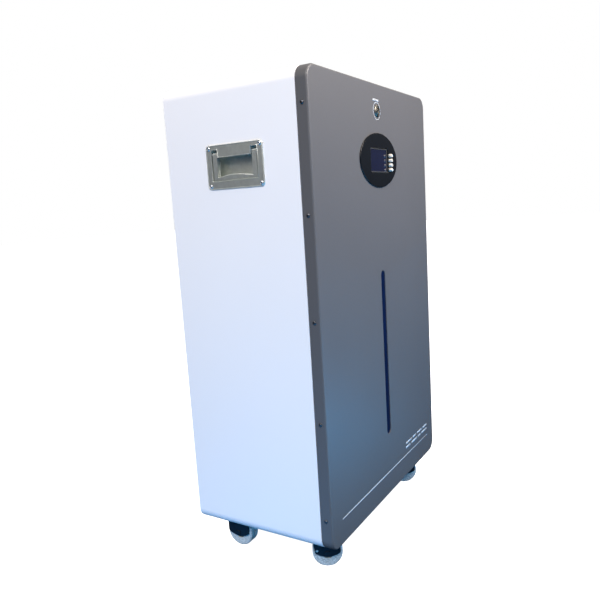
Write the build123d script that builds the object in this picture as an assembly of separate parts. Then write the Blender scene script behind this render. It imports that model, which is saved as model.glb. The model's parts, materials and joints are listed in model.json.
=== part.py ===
"""Floor-standing battery cabinet on four swivel casters.

Frame: +Z up, X across the cabinet, the front cover faces -Y.
The origin is on the floor, at the middle of the whole object's box.
All sizes are in millimetres.
"""
from build123d import *
import math
import os

os.makedirs("parts", exist_ok=True)

# ---------------------------------------------------------------- cabinet
cabinet_width = 450.0
cabinet_depth = 260.0
cabinet_height = 714.0
caster_height = 62.0
edge_radius = 20.0
sheet = 2.0
frame_sheet = 1.5
base_sheet = 3.0
fit_gap = 0.1
seam_gap = 0.8
cover_depth = 18.6
cover_bend_radius = 3.0
frame_lip = 12.0
frame_reach = 14.0
base_side_inset = 25.0

# ---------------------------------------------------------------- screws
screw_shank_r = 1.5
screw_head_r = 2.8
screw_head_height = 1.8
screw_length = 6.0
screw_hole_r = 1.6
cover_screw_inset_z = 52.0
cover_screw_inset_y = 10.0
cover_screw_rows = 5
rear_screw_edge = 8.0
rear_screw_inset = 45.0

# ---------------------------------------------------------------- display
display_width = 147.5
display_height = 88.5
display_thickness = 2.0
display_top_drop = 124.0
display_glue_margin = 8.0
display_chamfer = 0.4
window_width = 0.461 * display_width
window_height = 40.0
lcd_recess = 1.2
lcd_depth = 7.0
lcd_clearance = 0.3
glass_width = window_width - 5.0
glass_height = 35.5
glass_recess = 0.4
board_width = 122.0
board_height = 58.0
board_thickness = 1.6

# ---------------------------------------------------------------- menu buttons
menu_count = 4
menu_x = 0.285 * display_width
menu_pitch = 7.9
menu_offset_z = -3.0
menu_cap_r = 2.9
menu_cap_reach = 5.0
menu_cap_round = 1.0
menu_collar_r = 3.5
menu_collar_thickness = 1.2
menu_stem_r = 1.5
menu_travel = 0.8
slide_gap = 0.3

# ---------------------------------------------------------------- power button
power_top_drop = 44.0
power_bezel_r = 9.8
power_bezel_height = 2.2
power_barrel_r = 8.0
power_barrel_length = 26.0
power_cap_r = 6.2
power_cap_height = 7.0
power_cap_proud = 0.6
power_travel = 2.0
power_nut_r = 11.0
power_nut_thickness = 4.0

# ---------------------------------------------------------------- light window
light_length = 294.0
light_width = 17.0
light_bottom = 111.5
light_recess = 1.2
light_flange = 4.0
light_flange_thickness = 2.0
light_board_gap = 6.0

# ---------------------------------------------------------------- side handles
handle_width = 104.0
handle_height = 66.0
handle_corner_r = 6.0
handle_top_drop = 93.5
handle_plate = 1.5
handle_wall = 1.2
recess_half_width = 41.5
recess_bottom = 12.8
recess_top = 58.4
recess_depth = 18.0
flap_half_width = 31.0
flap_bottom = 47.0
bail_half_width = 40.0
bail_leg_width = 8.0
bail_thickness = 6.0
bail_bar_height = 4.5
bail_arch_rise = 3.5
bail_floor_gap = 0.9
bail_side_gap = 0.5
pivot_below_top = 6.5
pivot_r = 2.0
pivot_running_gap = 0.05
pivot_head_r = 3.2
pivot_head_shift = 0.9
bail_inset = 0.9
pivot_head_thickness = 0.8
rivet_side_inset = 5.5
rivet_end_inset = 5.2
rivet_r = 2.0
rivet_head_r = 3.2
rivet_head_height = 1.2

# ---------------------------------------------------------------- cells
cell_width = 174.0
cell_thickness = 72.0
cell_length = 207.0
cell_edge_r = 2.0
cell_gap = 1.0
column_gap = 10.0
end_plate_thickness = 10.0
end_plate_overhang = 13.0
stack_front_clearance = 12.0
top_bay = 103.0
pole_pitch = 120.0
pole_r = 9.0
pole_height = 2.0
pole_stud_r = 3.0
pole_stud_length = 8.0
busbar_width = 20.0
busbar_thickness = 2.0
nut_r = 5.0
nut_thickness = 4.0
rod_r = 4.0
rod_inset = 7.0
rod_end = 4.0
rod_count = 3

# ---------------------------------------------------------------- battery management board
sink_front_inset = 8.0
sink_width = 200.0
sink_depth = 110.0
sink_height = 20.0
sink_base = 5.0
sink_fin = 2.0
sink_fins = 15
bms_margin = 6.0

# ---------------------------------------------------------------- rear connections
terminal_top_drop = 59.0
terminal_r = 4.0
terminal_length = 14.0
terminal_collar_r = 7.0
terminal_collar = 2.0
insulator_r = 11.0
insulator_height = 5.0
insulator_neck = 3.0
stud_tail = 4.0
ground_tail = 5.0
bar_thickness = 3.0
bar_tab_gap = 8.0
ground_x = 96.0
ground_r = 3.0
ground_length = 12.0
breaker_width = 84.0
breaker_height = 36.0
breaker_depth = 58.0
breaker_nose_width = 45.0
breaker_nose_proud = 4.0
toggle_drum_r = 6.5
toggle_pivot_depth = 8.0
toggle_reach = 18.0
toggle_thickness = 5.0
toggle_width = 24.0
toggle_angle = 25.0
toggle_clearance = 0.5
toggle_side_room = 2.0
socket_count = 4
socket_first_x = -116.0
socket_pitch = 17.0
socket_width = 15.5
socket_height = 13.0
socket_depth = 18.0
mouth_width = 12.0
mouth_height = 9.0
mouth_depth = 13.0
mouth_lip = 0.6

# ---------------------------------------------------------------- casters
caster_x = 168.0
caster_y = 68.0
caster_trail = 16.0
front_swivel = 31.0
wheel_r = 25.0
wheel_width = 22.0
tread_edge_r = 3.0
tread_thickness = 12.0
hub_web = 8.0
hub_boss_r = 8.0
hub_rim_wall = 2.0
hub_press_gap = 0.01
axle_r = 4.0
axle_running_gap = 0.05
axle_head_r = 5.0
axle_head = 1.6
axle_head_round = 1.0
fork_gap = 1.3
fork_sheet = 2.5
fork_leg_width = 42.0
fork_back = 9.0
fork_bottom = 19.0
fork_arc_rise = 6.8
fork_corner_r = 4.0
fork_top_gap = 0.5
race_r = 19.0
race_height = 2.5
caster_plate_x = 52.0
caster_plate_y = 60.0
caster_plate_thickness = 2.5
caster_hole_x = 38.0
caster_hole_y = 46.0
caster_bolt_r = 3.0
caster_bolt_head_r = 5.5
caster_bolt_head = 2.4
kingpin_r = 5.0
kingpin_head_r = 8.0
kingpin_head = 2.0

# ---------------------------------------------------------------- worked-out places
front_projection = display_thickness + menu_cap_reach
rear_projection = insulator_height + terminal_collar + terminal_length
y_front = front_projection - (cabinet_depth + front_projection + rear_projection) / 2
y_rear = y_front + cabinet_depth
y_seam = y_front + cover_depth
y_middle = (y_front + y_rear) / 2
z_bottom = caster_height
z_top = z_bottom + cabinet_height
z_middle = (z_bottom + z_top) / 2
half_width = cabinet_width / 2
z_display = z_top - display_top_drop
z_power = z_top - power_top_drop
z_terminal = z_top - terminal_top_drop

TO_FRONT = (0, -1, 0)
TO_REAR = (0, 1, 0)
DOWN = (0, 0, -1)
ALONG_X = (1, 0, 0)
ALONG_Y = (0, 1, 0)


def save(name, *solids):
    """Write one node; several solids go in as one compound."""
    shape = solids[0] if len(solids) == 1 else Compound(list(solids))
    export_step(shape, f"parts/{name}.step")


def block(x0, x1, y0, y1, z0, z1):
    """A box between two corners."""
    centre = ((x0 + x1) / 2, (y0 + y1) / 2, (z0 + z1) / 2)
    return Pos(*centre) * Box(x1 - x0, y1 - y0, z1 - z0)


def upright(profile, y0, y1, x=0.0, z=0.0):
    """A flat profile standing in the XZ plane, from y0 back to y1."""
    plane = Plane(origin=(x, y1, z), x_dir=ALONG_X, z_dir=TO_FRONT)
    return extrude(plane * profile, amount=y1 - y0)


def rod_y(radius, y0, y1, x, z):
    """A round bar along Y."""
    return upright(Circle(radius), y0, y1, x, z)


def rod_x(radius, x0, x1, y, z):
    """A round bar along X."""
    return extrude(Plane(origin=(x0, y, z), x_dir=ALONG_Y, z_dir=ALONG_X) * Circle(radius), amount=x1 - x0)


def rod_z(radius, z0, z1, x, y):
    """A round bar along Z."""
    return Pos(x, y, (z0 + z1) / 2) * Cylinder(radius, z1 - z0)


def cut_all(solid, cutters):
    """Take every cutter away from a solid."""
    for cutter in cutters:
        solid = solid - cutter
    return solid


def set_at(shape, origin, direction, across=ALONG_X):
    """Stand a shape that was made along +Z at a place, pointing along a direction."""
    return Plane(origin=origin, x_dir=across, z_dir=direction) * shape


def pan_screw(shank_r, head_r, head_height, length):
    """A pan-head screw along +Z, its head resting on z = 0."""
    head = Pos(0, 0, head_height / 2) * Cylinder(head_r, head_height)
    head = fillet(head.edges().group_by(Axis.Z)[-1], head_height * 0.6)
    shank = Pos(0, 0, -length / 2) * Cylinder(shank_r, length)
    slot = Box(head_r * 1.1, head_r * 0.25, head_height)
    recess = Pos(0, 0, head_height) * (slot + Rot(0, 0, 90) * slot)
    return (head + shank) - recess


def hex_nut(across_r, thickness, bore_r):
    """A hexagon nut along +Z, standing on z = 0."""
    return extrude(RegularPolygon(across_r, 6) - Circle(bore_r), amount=thickness)


def outline(inset=0.0):
    """The cabinet's rounded outline, pulled in all round."""
    return RectangleRounded(cabinet_width - 2 * inset, cabinet_height - 2 * inset, edge_radius - inset)


def ring(inset, wall, y0, y1):
    """A length of rounded tube along Y that follows the outline."""
    return upright(outline(inset), y0, y1, z=z_middle) - upright(outline(inset + wall), y0, y1, z=z_middle)


def sides():
    """The two sides of the cabinet, left then right."""
    return (-1, 1)


# ---------------------------------------------------------------- sheet-metal case
def cover_screw_heights():
    """Heights of the cover's side screws, evenly spaced between the insets."""
    pitch = (cabinet_height - 2 * cover_screw_inset_z) / (cover_screw_rows - 1)
    return [z_bottom + cover_screw_inset_z + row * pitch for row in range(cover_screw_rows)]


def cover_screw_places():
    """Side, y and z of every cover screw."""
    y = y_front + cover_screw_inset_y
    return [(side, y, z) for side in sides() for z in cover_screw_heights()]


def rear_screw_places():
    """X and z of the screws round the rear panel."""
    reach_x = half_width - sheet - rear_screw_edge
    reach_z = cabinet_height / 2 - sheet - rear_screw_edge
    span_z = cabinet_height - 2 * rear_screw_inset
    span_x = cabinet_width - 2 * rear_screw_inset
    places = []
    for side in sides():
        for step in range(4):
            places.append((side * reach_x, z_bottom + rear_screw_inset + step * span_z / 3))
        for step in range(2):
            places.append((-span_x / 2 + step * span_x, z_middle + side * reach_z))
    return places


def caster_places():
    """Name, x, y, trail direction and swivel turn of the four casters."""
    rows = (("front", -1, front_swivel), ("rear", 1, 0.0))
    columns = (("left", -1), ("right", 1))
    return [(f"{row}_{column}", x * caster_x, y_middle + y * caster_y, y, turn)
            for row, y, turn in rows for column, x in columns]


def caster_bolt_places():
    """X and y of every caster screw."""
    places = []
    for _, x, y, _, _ in caster_places():
        for dx in (-caster_hole_x / 2, caster_hole_x / 2):
            for dy in (-caster_hole_y / 2, caster_hole_y / 2):
                places.append((x + dx, y + dy))
    return places


def make_case():
    """Sleeve, front cover, inner frames, rear panel, base plate and their screws."""
    z_floor = z_bottom + sheet
    bolt_holes = [rod_z(caster_bolt_r + fit_gap, z_bottom - 1, z_floor + base_sheet + 1, x, y)
                  for x, y in caster_bolt_places()]
    sleeve_front = y_seam + seam_gap
    sleeve = ring(0, sheet, sleeve_front, y_rear)
    sleeve = cut_all(sleeve, bolt_holes + handle_cutouts())
    save("body_sleeve", sleeve)

    frame_inset = sheet + fit_gap
    front_end = y_seam + frame_reach
    front_frame = ring(frame_inset, frame_sheet, y_front + sheet + 1, front_end)
    front_frame += ring(frame_inset, frame_lip, front_end - frame_sheet, front_end)
    rear_start = y_rear - sheet - frame_reach
    rear_face = y_rear - sheet
    rear_frame = ring(frame_inset, frame_sheet, rear_start, rear_face)
    rear_frame += ring(frame_inset, frame_lip, rear_face - frame_sheet, rear_face)

    cover = upright(outline(), y_front, y_seam, z=z_middle)
    cover = fillet(cover.faces().sort_by(Axis.Y)[0].edges(), cover_bend_radius)
    hollow = upright(outline(sheet), y_front + sheet, y_seam + 1, z=z_middle)
    hollow = fillet(hollow.faces().sort_by(Axis.Y)[0].edges(), cover_bend_radius - sheet)
    cover = cover - hollow

    reach = screw_length + 1
    side_holes = [rod_x(screw_hole_r, side * half_width - reach, side * half_width + reach, y, z)
                  for side, y, z in cover_screw_places()]
    display_hole = Ellipse(display_width / 2 - display_glue_margin, display_height / 2 - display_glue_margin)
    openings = [
        upright(display_hole, y_front - 1, y_front + sheet + 1, z=z_display),
        rod_y(power_barrel_r + fit_gap, y_front - 1, y_front + sheet + 1, 0, z_power),
        upright(light_outline(0), y_front - 1, y_front + sheet + 1, z=light_centre()),
    ]
    save("front_cover", cut_all(cover, side_holes + openings))
    save("front_frame", cut_all(front_frame, side_holes))

    rear_holes = [rod_y(screw_hole_r, rear_start, y_rear + 1, x, z) for x, z in rear_screw_places()]
    save("rear_frame", cut_all(rear_frame, rear_holes))
    panel = upright(outline(sheet + fit_gap), rear_face, y_rear, z=z_middle)
    save("rear_panel", cut_all(panel, rear_holes + rear_cutouts()))

    base = block(-half_width + base_side_inset, half_width - base_side_inset,
                 front_end + 1, rear_start - 1, z_floor, z_floor + base_sheet)
    save("base_plate", cut_all(base, bolt_holes))

    screw = pan_screw(screw_shank_r, screw_head_r, screw_head_height, screw_length)
    save("cover_screws", *[set_at(screw, (side * half_width, y, z), (side, 0, 0), ALONG_Y)
                           for side, y, z in cover_screw_places()])
    save("rear_screws", *[set_at(screw, (x, y_rear, z), TO_REAR) for x, z in rear_screw_places()])


# ---------------------------------------------------------------- front controls
def light_outline(grow):
    """The light window's upright slot with round ends."""
    return Rot(0, 0, 90) * SlotOverall(light_length + 2 * grow, light_width + 2 * grow)


def light_centre():
    """Height of the middle of the light window."""
    return z_bottom + light_bottom + light_length / 2


def menu_heights():
    """Heights of the menu buttons, from the top one down."""
    top = z_display + menu_offset_z + menu_pitch * (menu_count - 1) / 2
    return [top - menu_pitch * index for index in range(menu_count)]


def make_display():
    """The oval panel, the screen behind its window, the board and the four buttons."""
    panel_front = y_front - display_thickness
    panel = upright(Ellipse(display_width / 2, display_height / 2), panel_front, y_front, z=z_display)
    panel = chamfer(panel.faces().sort_by(Axis.Y)[0].edges(), display_chamfer)
    window = RectangleRounded(window_width, window_height, 2)
    cutters = [upright(window, panel_front - 1, y_front + 1, z=z_display)]
    cutters += [rod_y(menu_cap_r + slide_gap, panel_front - 1, y_front + 1, menu_x, z)
                for z in menu_heights()]
    save("display_panel", cut_all(panel, cutters))

    lcd_front = panel_front + lcd_recess
    lcd_back = lcd_front + lcd_depth
    gap = 2 * lcd_clearance
    face = RectangleRounded(window_width - gap, window_height - gap, 1.5)
    lcd = upright(face, lcd_front, lcd_back, z=z_display)
    lcd -= upright(Rectangle(glass_width, glass_height), lcd_front - 1, lcd_front + glass_recess, z=z_display)
    save("lcd_module", lcd)
    save("display_board", upright(RectangleRounded(board_width, board_height, 3),
                                  lcd_back, lcd_back + board_thickness, z=z_display))

    for index, z in enumerate(menu_heights(), start=1):
        cap = rod_y(menu_cap_r, panel_front - menu_cap_reach, y_front, menu_x, z)
        cap = fillet(cap.faces().sort_by(Axis.Y)[0].edges(), menu_cap_round)
        collar_front = y_front + fit_gap
        collar = rod_y(menu_collar_r, collar_front, collar_front + menu_collar_thickness, menu_x, z)
        stem = rod_y(menu_stem_r, y_front - 1, lcd_back - menu_travel - fit_gap, menu_x, z)
        save(f"menu_button_{index}", cap + collar + stem)


def make_power_button():
    """Metal push button: barrel with its bezel, the moving cap and the nut behind."""
    bezel_front = y_front - power_bezel_height
    barrel_back = y_front + power_barrel_length
    bezel = rod_y(power_bezel_r, bezel_front, y_front, 0, z_power)
    bezel = chamfer(bezel.faces().sort_by(Axis.Y)[0].edges(), 0.8)
    bore_back = bezel_front + power_cap_height + power_travel
    body = bezel + rod_y(power_barrel_r, y_front, barrel_back, 0, z_power)
    body -= rod_y(power_cap_r + slide_gap, bezel_front - 1, bore_back, 0, z_power)
    save("power_button_body", body)

    cap_front = bezel_front - power_cap_proud
    cap_back = bezel_front + power_cap_height - fit_gap - power_cap_proud
    cap = rod_y(power_cap_r, cap_front, cap_back, 0, z_power)
    save("power_button_cap", fillet(cap.faces().sort_by(Axis.Y)[0].edges(), 0.6))
    nut = hex_nut(power_nut_r, power_nut_thickness, power_barrel_r + fit_gap)
    save("power_button_nut", set_at(nut, (0, y_front + sheet, z_power), TO_REAR))


def make_light_window():
    """Smoked window in the cover's slot, with the strip board behind it."""
    back = y_front + sheet
    window = upright(light_outline(-fit_gap), y_front + light_recess, back, z=light_centre())
    window += upright(light_outline(light_flange), back, back + light_flange_thickness, z=light_centre())
    save("light_window", window)
    board_y = back + light_flange_thickness + light_board_gap
    board = Rectangle(light_width - 3, light_length - light_width)
    save("light_board", upright(board, board_y, board_y + board_thickness, z=light_centre()))


# ---------------------------------------------------------------- side handles
def handle_bottom():
    """Height of the handle plate's lower edge."""
    return z_top - handle_top_drop - handle_height


def pivot_height():
    """Height of the bail's pivot axis."""
    return handle_bottom() + recess_top - pivot_below_top


def pivot_x():
    """Distance of the bail's pivot axis from the middle of the cabinet."""
    return half_width + handle_plate - bail_thickness / 2 - bail_inset


def handle_cutouts():
    """Openings in the sleeve for both handle pockets and their rivets."""
    bottom = handle_bottom()
    clear = recess_half_width + handle_wall + pivot_head_thickness + slide_gap
    cutters = []
    for side in sides():
        x0, x1 = sorted((side * (half_width - sheet - 1), side * (half_width + 1)))
        cutters.append(block(x0, x1, y_middle - clear, y_middle + clear,
                             bottom + recess_bottom - handle_wall - slide_gap,
                             bottom + recess_top + handle_wall + slide_gap))
        cutters += [rod_x(rivet_r + fit_gap, x0, x1, y, z) for y, z in rivet_places()]
    return cutters


def rivet_places():
    """Y and z of the four rivets of a handle plate."""
    reach_y = handle_width / 2 - rivet_side_inset
    low = handle_bottom() + rivet_end_inset
    high = handle_bottom() + handle_height - rivet_end_inset
    return [(y_middle + y, z) for y in (-reach_y, reach_y) for z in (low, high)]


def handle_dish():
    """Pressed plate with a pocket for the fingers, built for the right side."""
    bottom = handle_bottom()
    face = half_width + handle_plate
    plane = Plane(origin=(half_width, y_middle, bottom + handle_height / 2), x_dir=ALONG_Y, z_dir=ALONG_X)
    border = RectangleRounded(handle_width, handle_height, handle_corner_r)
    plate = extrude(plane * border, amount=handle_plate)
    plate = fillet(plate.faces().sort_by(Axis.X)[-1].edges(), handle_plate * 0.6)
    low, high = bottom + recess_bottom, bottom + recess_top
    floor_x = half_width - recess_depth
    y0, y1 = y_middle - recess_half_width, y_middle + recess_half_width
    pocket = block(floor_x - handle_wall, half_width, y0 - handle_wall, y1 + handle_wall,
                   low - handle_wall, high + handle_wall)
    dish = plate + pocket
    flap_z = bottom + flap_bottom
    dish -= block(floor_x, face + 1, y0, y1, low, flap_z)
    dish -= block(floor_x, half_width - handle_wall, y0, y1, flap_z, high)
    for near, far in ((y0, y_middle - flap_half_width), (y_middle + flap_half_width, y1)):
        dish -= block(half_width - handle_wall - 1, face + 1, near, far, flap_z - 1, high)
    pin_hole = pivot_r + fit_gap
    dish -= rod_y(pin_hole, y0 - 2, y0 + 1, pivot_x(), pivot_height())
    dish -= rod_y(pin_hole, y1 - 1, y1 + 2, pivot_x(), pivot_height())
    for y, z in rivet_places():
        dish -= rod_x(rivet_r + fit_gap, half_width - 1, face + 1, y, z)
    return dish


def handle_bail():
    """Drop handle that hangs from its two pins, built for the right side."""
    top = pivot_height() + bail_thickness / 2
    low = handle_bottom() + recess_bottom + bail_floor_gap
    inner = bail_half_width - bail_leg_width
    grip = low + bail_bar_height
    outer = Polyline((-bail_half_width, top), (-bail_half_width, low), (bail_half_width, low),
                     (bail_half_width, top), (inner, top), (inner, grip))
    arch = ThreePointArc((inner, grip), (0, grip + bail_arch_rise), (-inner, grip))
    close = Polyline((-inner, grip), (-inner, top), (-bail_half_width, top))
    profile = make_face(outer + arch + close)
    plane = Plane(origin=(pivot_x() - bail_thickness / 2, y_middle, 0), x_dir=ALONG_Y, z_dir=ALONG_X)
    bail = extrude(plane * profile, amount=bail_thickness)
    long_edges = bail.edges().filter_by(Axis.Y)
    bail = fillet(long_edges.group_by(Axis.Z)[-1], bail_thickness / 2 - 0.05)
    grip_edges = [edge for edge in bail.edges().filter_by(GeomType.CIRCLE)
                  if edge.length > inner]
    bail = fillet(grip_edges, 1.4)
    bore_r = pivot_r + pivot_running_gap
    reach = bail_half_width + 1
    bail -= rod_y(bore_r, y_middle - reach, y_middle + reach, pivot_x(), pivot_height())
    return bail


def handle_pins():
    """Pivot pins of one handle, headed inside the pocket wall."""
    wall = recess_half_width + handle_wall
    inner = bail_half_width - bail_leg_width + bail_side_gap
    pins = []
    for side in sides():
        y_ends = sorted((y_middle + side * inner, y_middle + side * wall))
        pin = rod_y(pivot_r, y_ends[0], y_ends[1], pivot_x(), pivot_height())
        head_ends = sorted((y_middle + side * wall, y_middle + side * (wall + pivot_head_thickness)))
        pins.append(pin + rod_y(pivot_head_r, head_ends[0], head_ends[1],
                                pivot_x() - pivot_head_shift, pivot_height()))
    return pins


def handle_rivets():
    """Four blind rivets of one handle plate."""
    head = Pos(0, 0, rivet_head_height / 2) * Cylinder(rivet_head_r, rivet_head_height)
    head = fillet(head.edges().group_by(Axis.Z)[-1], rivet_head_height * 0.8)
    length = handle_plate + sheet + 2
    rivet = head + Pos(0, 0, -length / 2) * Cylinder(rivet_r, length)
    face = half_width + handle_plate
    return [set_at(rivet, (face, y, z), ALONG_X, ALONG_Y) for y, z in rivet_places()]


def make_handles():
    """Both side handles; the left one is the mirror image of the right one."""
    dish, bail, pins, rivets = handle_dish(), handle_bail(), handle_pins(), handle_rivets()
    save("handle_dish_right", dish)
    save("handle_dish_left", mirror(dish, about=Plane.YZ))
    save("handle_bail_right", bail)
    save("handle_bail_left", mirror(bail, about=Plane.YZ))
    save("handle_pins", *pins, *[mirror(pin, about=Plane.YZ) for pin in pins])
    save("handle_rivets", *rivets, *[mirror(rivet, about=Plane.YZ) for rivet in rivets])


# ---------------------------------------------------------------- cell stack
stack_base = z_bottom + sheet + base_sheet
cells_base = stack_base + end_plate_thickness + cell_gap
cell_pitch = cell_thickness + cell_gap
cell_rows = int((z_top - top_bay - end_plate_thickness - cells_base) // cell_pitch)
cells_top = cells_base + cell_rows * cell_pitch
stack_top = cells_top + end_plate_thickness
cell_front = y_seam + frame_reach + stack_front_clearance
cell_back = cell_front + cell_length
column_x = (cell_width + column_gap) / 2


def cell_centre_z(row):
    """Height of the middle of one row of cells."""
    return cells_base + (row + 0.5) * cell_pitch - cell_gap / 2


def pole_x(column, pole):
    """X of a cell's pole: column and pole are each -1 or 1."""
    return column * column_x + pole * pole_pitch / 2


def free_pole():
    """Which pole of a top cell has no link: 1 is the outer one, -1 the inner one."""
    return -1 if cell_rows % 2 == 0 else 1


def busbar(x0, x1, z0, z1):
    """Flat link over the poles inside a rectangle."""
    half = busbar_width / 2
    y = cell_front - pole_height
    return block(x0 - half, x1 + half, y - busbar_thickness, y, z0 - half, z1 + half)


def make_cells():
    """Two columns of prismatic cells, spacers, end plates, tie rods, links and nuts."""
    cell = Box(cell_width, cell_length, cell_thickness)
    cell = fillet(cell.edges().filter_by(Axis.Y), cell_edge_r)
    for pole in sides():
        front = -cell_length / 2
        cell += rod_y(pole_r, front - pole_height, front + 1, pole * pole_pitch / 2, 0)
        cell += rod_y(pole_stud_r, front - pole_height - pole_stud_length, front, pole * pole_pitch / 2, 0)
    y = (cell_front + cell_back) / 2
    save("battery_cells", *[Pos(column * column_x, y, cell_centre_z(row)) * cell
                            for column in sides() for row in range(cell_rows)])

    spacers = []
    for column in sides():
        x0 = column * column_x - cell_width / 2
        for row in range(cell_rows + 1):
            top = cells_base + row * cell_pitch
            spacers.append(block(x0, x0 + cell_width, cell_front, cell_back, top - cell_gap, top))
    save("cell_spacers", *spacers)

    reach_x = column_x + cell_width / 2 + end_plate_overhang
    rod_x_place = reach_x - rod_inset
    rod_rows = [cell_front + (index + 0.5) * cell_length / rod_count for index in range(rod_count)]
    holes = [rod_z(rod_r + fit_gap, stack_base - 1, stack_top + 1, side * rod_x_place, rod_y_place)
             for side in sides() for rod_y_place in rod_rows]
    bottom = block(-reach_x, reach_x, cell_front, cell_back, stack_base, stack_base + end_plate_thickness)
    top = block(-reach_x, reach_x, cell_front, cell_back, cells_top, stack_top)
    save("end_plates", cut_all(bottom, holes), cut_all(top, holes))
    save("tie_rods", *[rod_z(rod_r, stack_base, stack_top + rod_end, side * rod_x_place, rod_y_place)
                       for side in sides() for rod_y_place in rod_rows])

    links = []
    for column in sides():
        for row in range(cell_rows - 1):
            pole = 1 if row % 2 == 0 else -1
            x = pole_x(column, column * pole)
            links.append(busbar(x, x, cell_centre_z(row), cell_centre_z(row + 1)))
    links.append(busbar(pole_x(-1, 1), pole_x(1, -1), cell_centre_z(0), cell_centre_z(0)))
    stud_back = cell_front - pole_height + 1
    studs = [rod_y(pole_stud_r + fit_gap, stud_back - 20, stud_back, pole_x(column, pole), cell_centre_z(row))
             for column in sides() for pole in sides() for row in range(cell_rows)]
    save("busbars", *[cut_all(link, [stud for stud in studs if touches(link, stud)]) for link in links])

    nut = hex_nut(nut_r, nut_thickness, pole_stud_r + fit_gap)
    nuts = []
    for column in sides():
        for pole in sides():
            for row in range(cell_rows):
                carries_main_bar = (row, pole) == (cell_rows - 1, column * free_pole())
                under = bar_thickness if carries_main_bar else busbar_thickness
                place = (pole_x(column, pole), cell_front - pole_height - under, cell_centre_z(row))
                nuts.append(set_at(nut, place, TO_FRONT))
    save("busbar_nuts", *nuts)


def touches(one, other):
    """True where two boxes round the solids overlap."""
    a, b = one.bounding_box(), other.bounding_box()
    return all(low < high for low, high in (
        (max(a.min.X, b.min.X), min(a.max.X, b.max.X)),
        (max(a.min.Y, b.min.Y), min(a.max.Y, b.max.Y)),
        (max(a.min.Z, b.min.Z), min(a.max.Z, b.max.Z))))


def make_management_board():
    """Finned heat sink on the top end plate, with the management board lying on its fins."""
    y0 = cell_front + sink_front_inset
    y1 = y0 + sink_depth
    fins_top = stack_top + sink_height
    sink = block(-sink_width / 2, sink_width / 2, y0, y1, stack_top, stack_top + sink_base)
    pitch = (sink_width - sink_fin) / (sink_fins - 1)
    for index in range(sink_fins):
        x = -sink_width / 2 + index * pitch
        sink += block(x, x + sink_fin, y0, y1, stack_top, fins_top)
    save("bms_heat_sink", sink)
    save("bms_board", block(-sink_width / 2 + bms_margin, sink_width / 2 - bms_margin,
                            y0 + bms_margin, y1 - bms_margin, fins_top, fins_top + board_thickness))


# ---------------------------------------------------------------- rear connections
def socket_places():
    """X of the communication sockets."""
    return [socket_first_x + index * socket_pitch for index in range(socket_count)]


def terminal_x():
    """Distance of the power terminals from the middle: in line with the outer poles."""
    return pole_x(1, 1)


def rear_cutouts():
    """Openings in the rear panel for the terminals, sockets, breaker and ground stud."""
    y0, y1 = y_rear - sheet - 1, y_rear + 1
    nose = Rectangle(breaker_nose_width + 2 * slide_gap, breaker_height + 2 * slide_gap)
    cutters = [upright(nose, y0, y1, z=z_terminal)]
    cutters += [rod_y(insulator_r - insulator_neck, y0, y1, side * terminal_x(), z_terminal)
                for side in sides()]
    cutters.append(rod_y(ground_r + fit_gap, y0, y1, ground_x, z_terminal))
    mouth = Rectangle(mouth_width + 2 * mouth_lip, mouth_height + 2 * mouth_lip)
    cutters += [upright(mouth, y0, y1, x, z_terminal) for x in socket_places()]
    return cutters


def make_terminals():
    """Power studs, their insulators, the copper bars that feed them and the ground stud."""
    rear_face = y_rear - sheet
    tab_back = rear_face - bar_tab_gap
    collar_y = y_rear + insulator_height
    collar_end = collar_y + terminal_collar
    studs, insulators, bars = [], [], []
    for side in sides():
        x = side * terminal_x()
        stud = rod_y(terminal_r, tab_back - bar_thickness - stud_tail, collar_y, x, z_terminal)
        stud += rod_y(terminal_collar_r, collar_y, collar_end, x, z_terminal)
        stud += rod_y(terminal_r, collar_end, collar_end + terminal_length, x, z_terminal)
        studs.append(stud)
        insulator = rod_y(insulator_r, y_rear, collar_y, x, z_terminal)
        neck_back = rear_face - insulator_neck
        insulator += rod_y(insulator_r - insulator_neck - fit_gap, neck_back, y_rear, x, z_terminal)
        insulators.append(insulator - rod_y(terminal_r + fit_gap, neck_back - 1, collar_y + 1, x, z_terminal))
        half = busbar_width / 2
        riser_back = cell_front - pole_height
        run_top = z_terminal + half + bar_thickness
        run_low = run_top - bar_thickness
        riser_front = riser_back - bar_thickness
        riser_x = pole_x(side, side * free_pole())
        top_cell_z = cell_centre_z(cell_rows - 1)
        bar = block(riser_x - half, riser_x + half, riser_front, riser_back, top_cell_z - half, run_top)
        cross_x0, cross_x1 = min(x, riser_x) - half, max(x, riser_x) + half
        bar += block(cross_x0, cross_x1, riser_front, riser_front + busbar_width, run_low, run_top)
        bar += block(x - half, x + half, riser_front, tab_back, run_low, run_top)
        bar += block(x - half, x + half, tab_back - bar_thickness, tab_back, z_terminal - half, run_top)
        bar -= rod_y(terminal_r + fit_gap, tab_back - 10, tab_back + 1, x, z_terminal)
        bar -= rod_y(pole_stud_r + fit_gap, riser_back - 10, riser_back + 1, riser_x, top_cell_z)
        bars.append(bar)
    save("terminal_studs", *studs)
    save("terminal_insulators", *insulators)
    save("main_bars", *bars)
    ground = rod_y(ground_r, rear_face - ground_tail, y_rear + terminal_collar, ground_x, z_terminal)
    nut = set_at(hex_nut(nut_r, terminal_collar, 0.5), (ground_x, y_rear, z_terminal), TO_REAR)
    ground += nut + rod_y(ground_r, y_rear + terminal_collar - 0.5, y_rear + terminal_collar + ground_length,
                          ground_x, z_terminal)
    save("ground_stud", ground)


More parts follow.
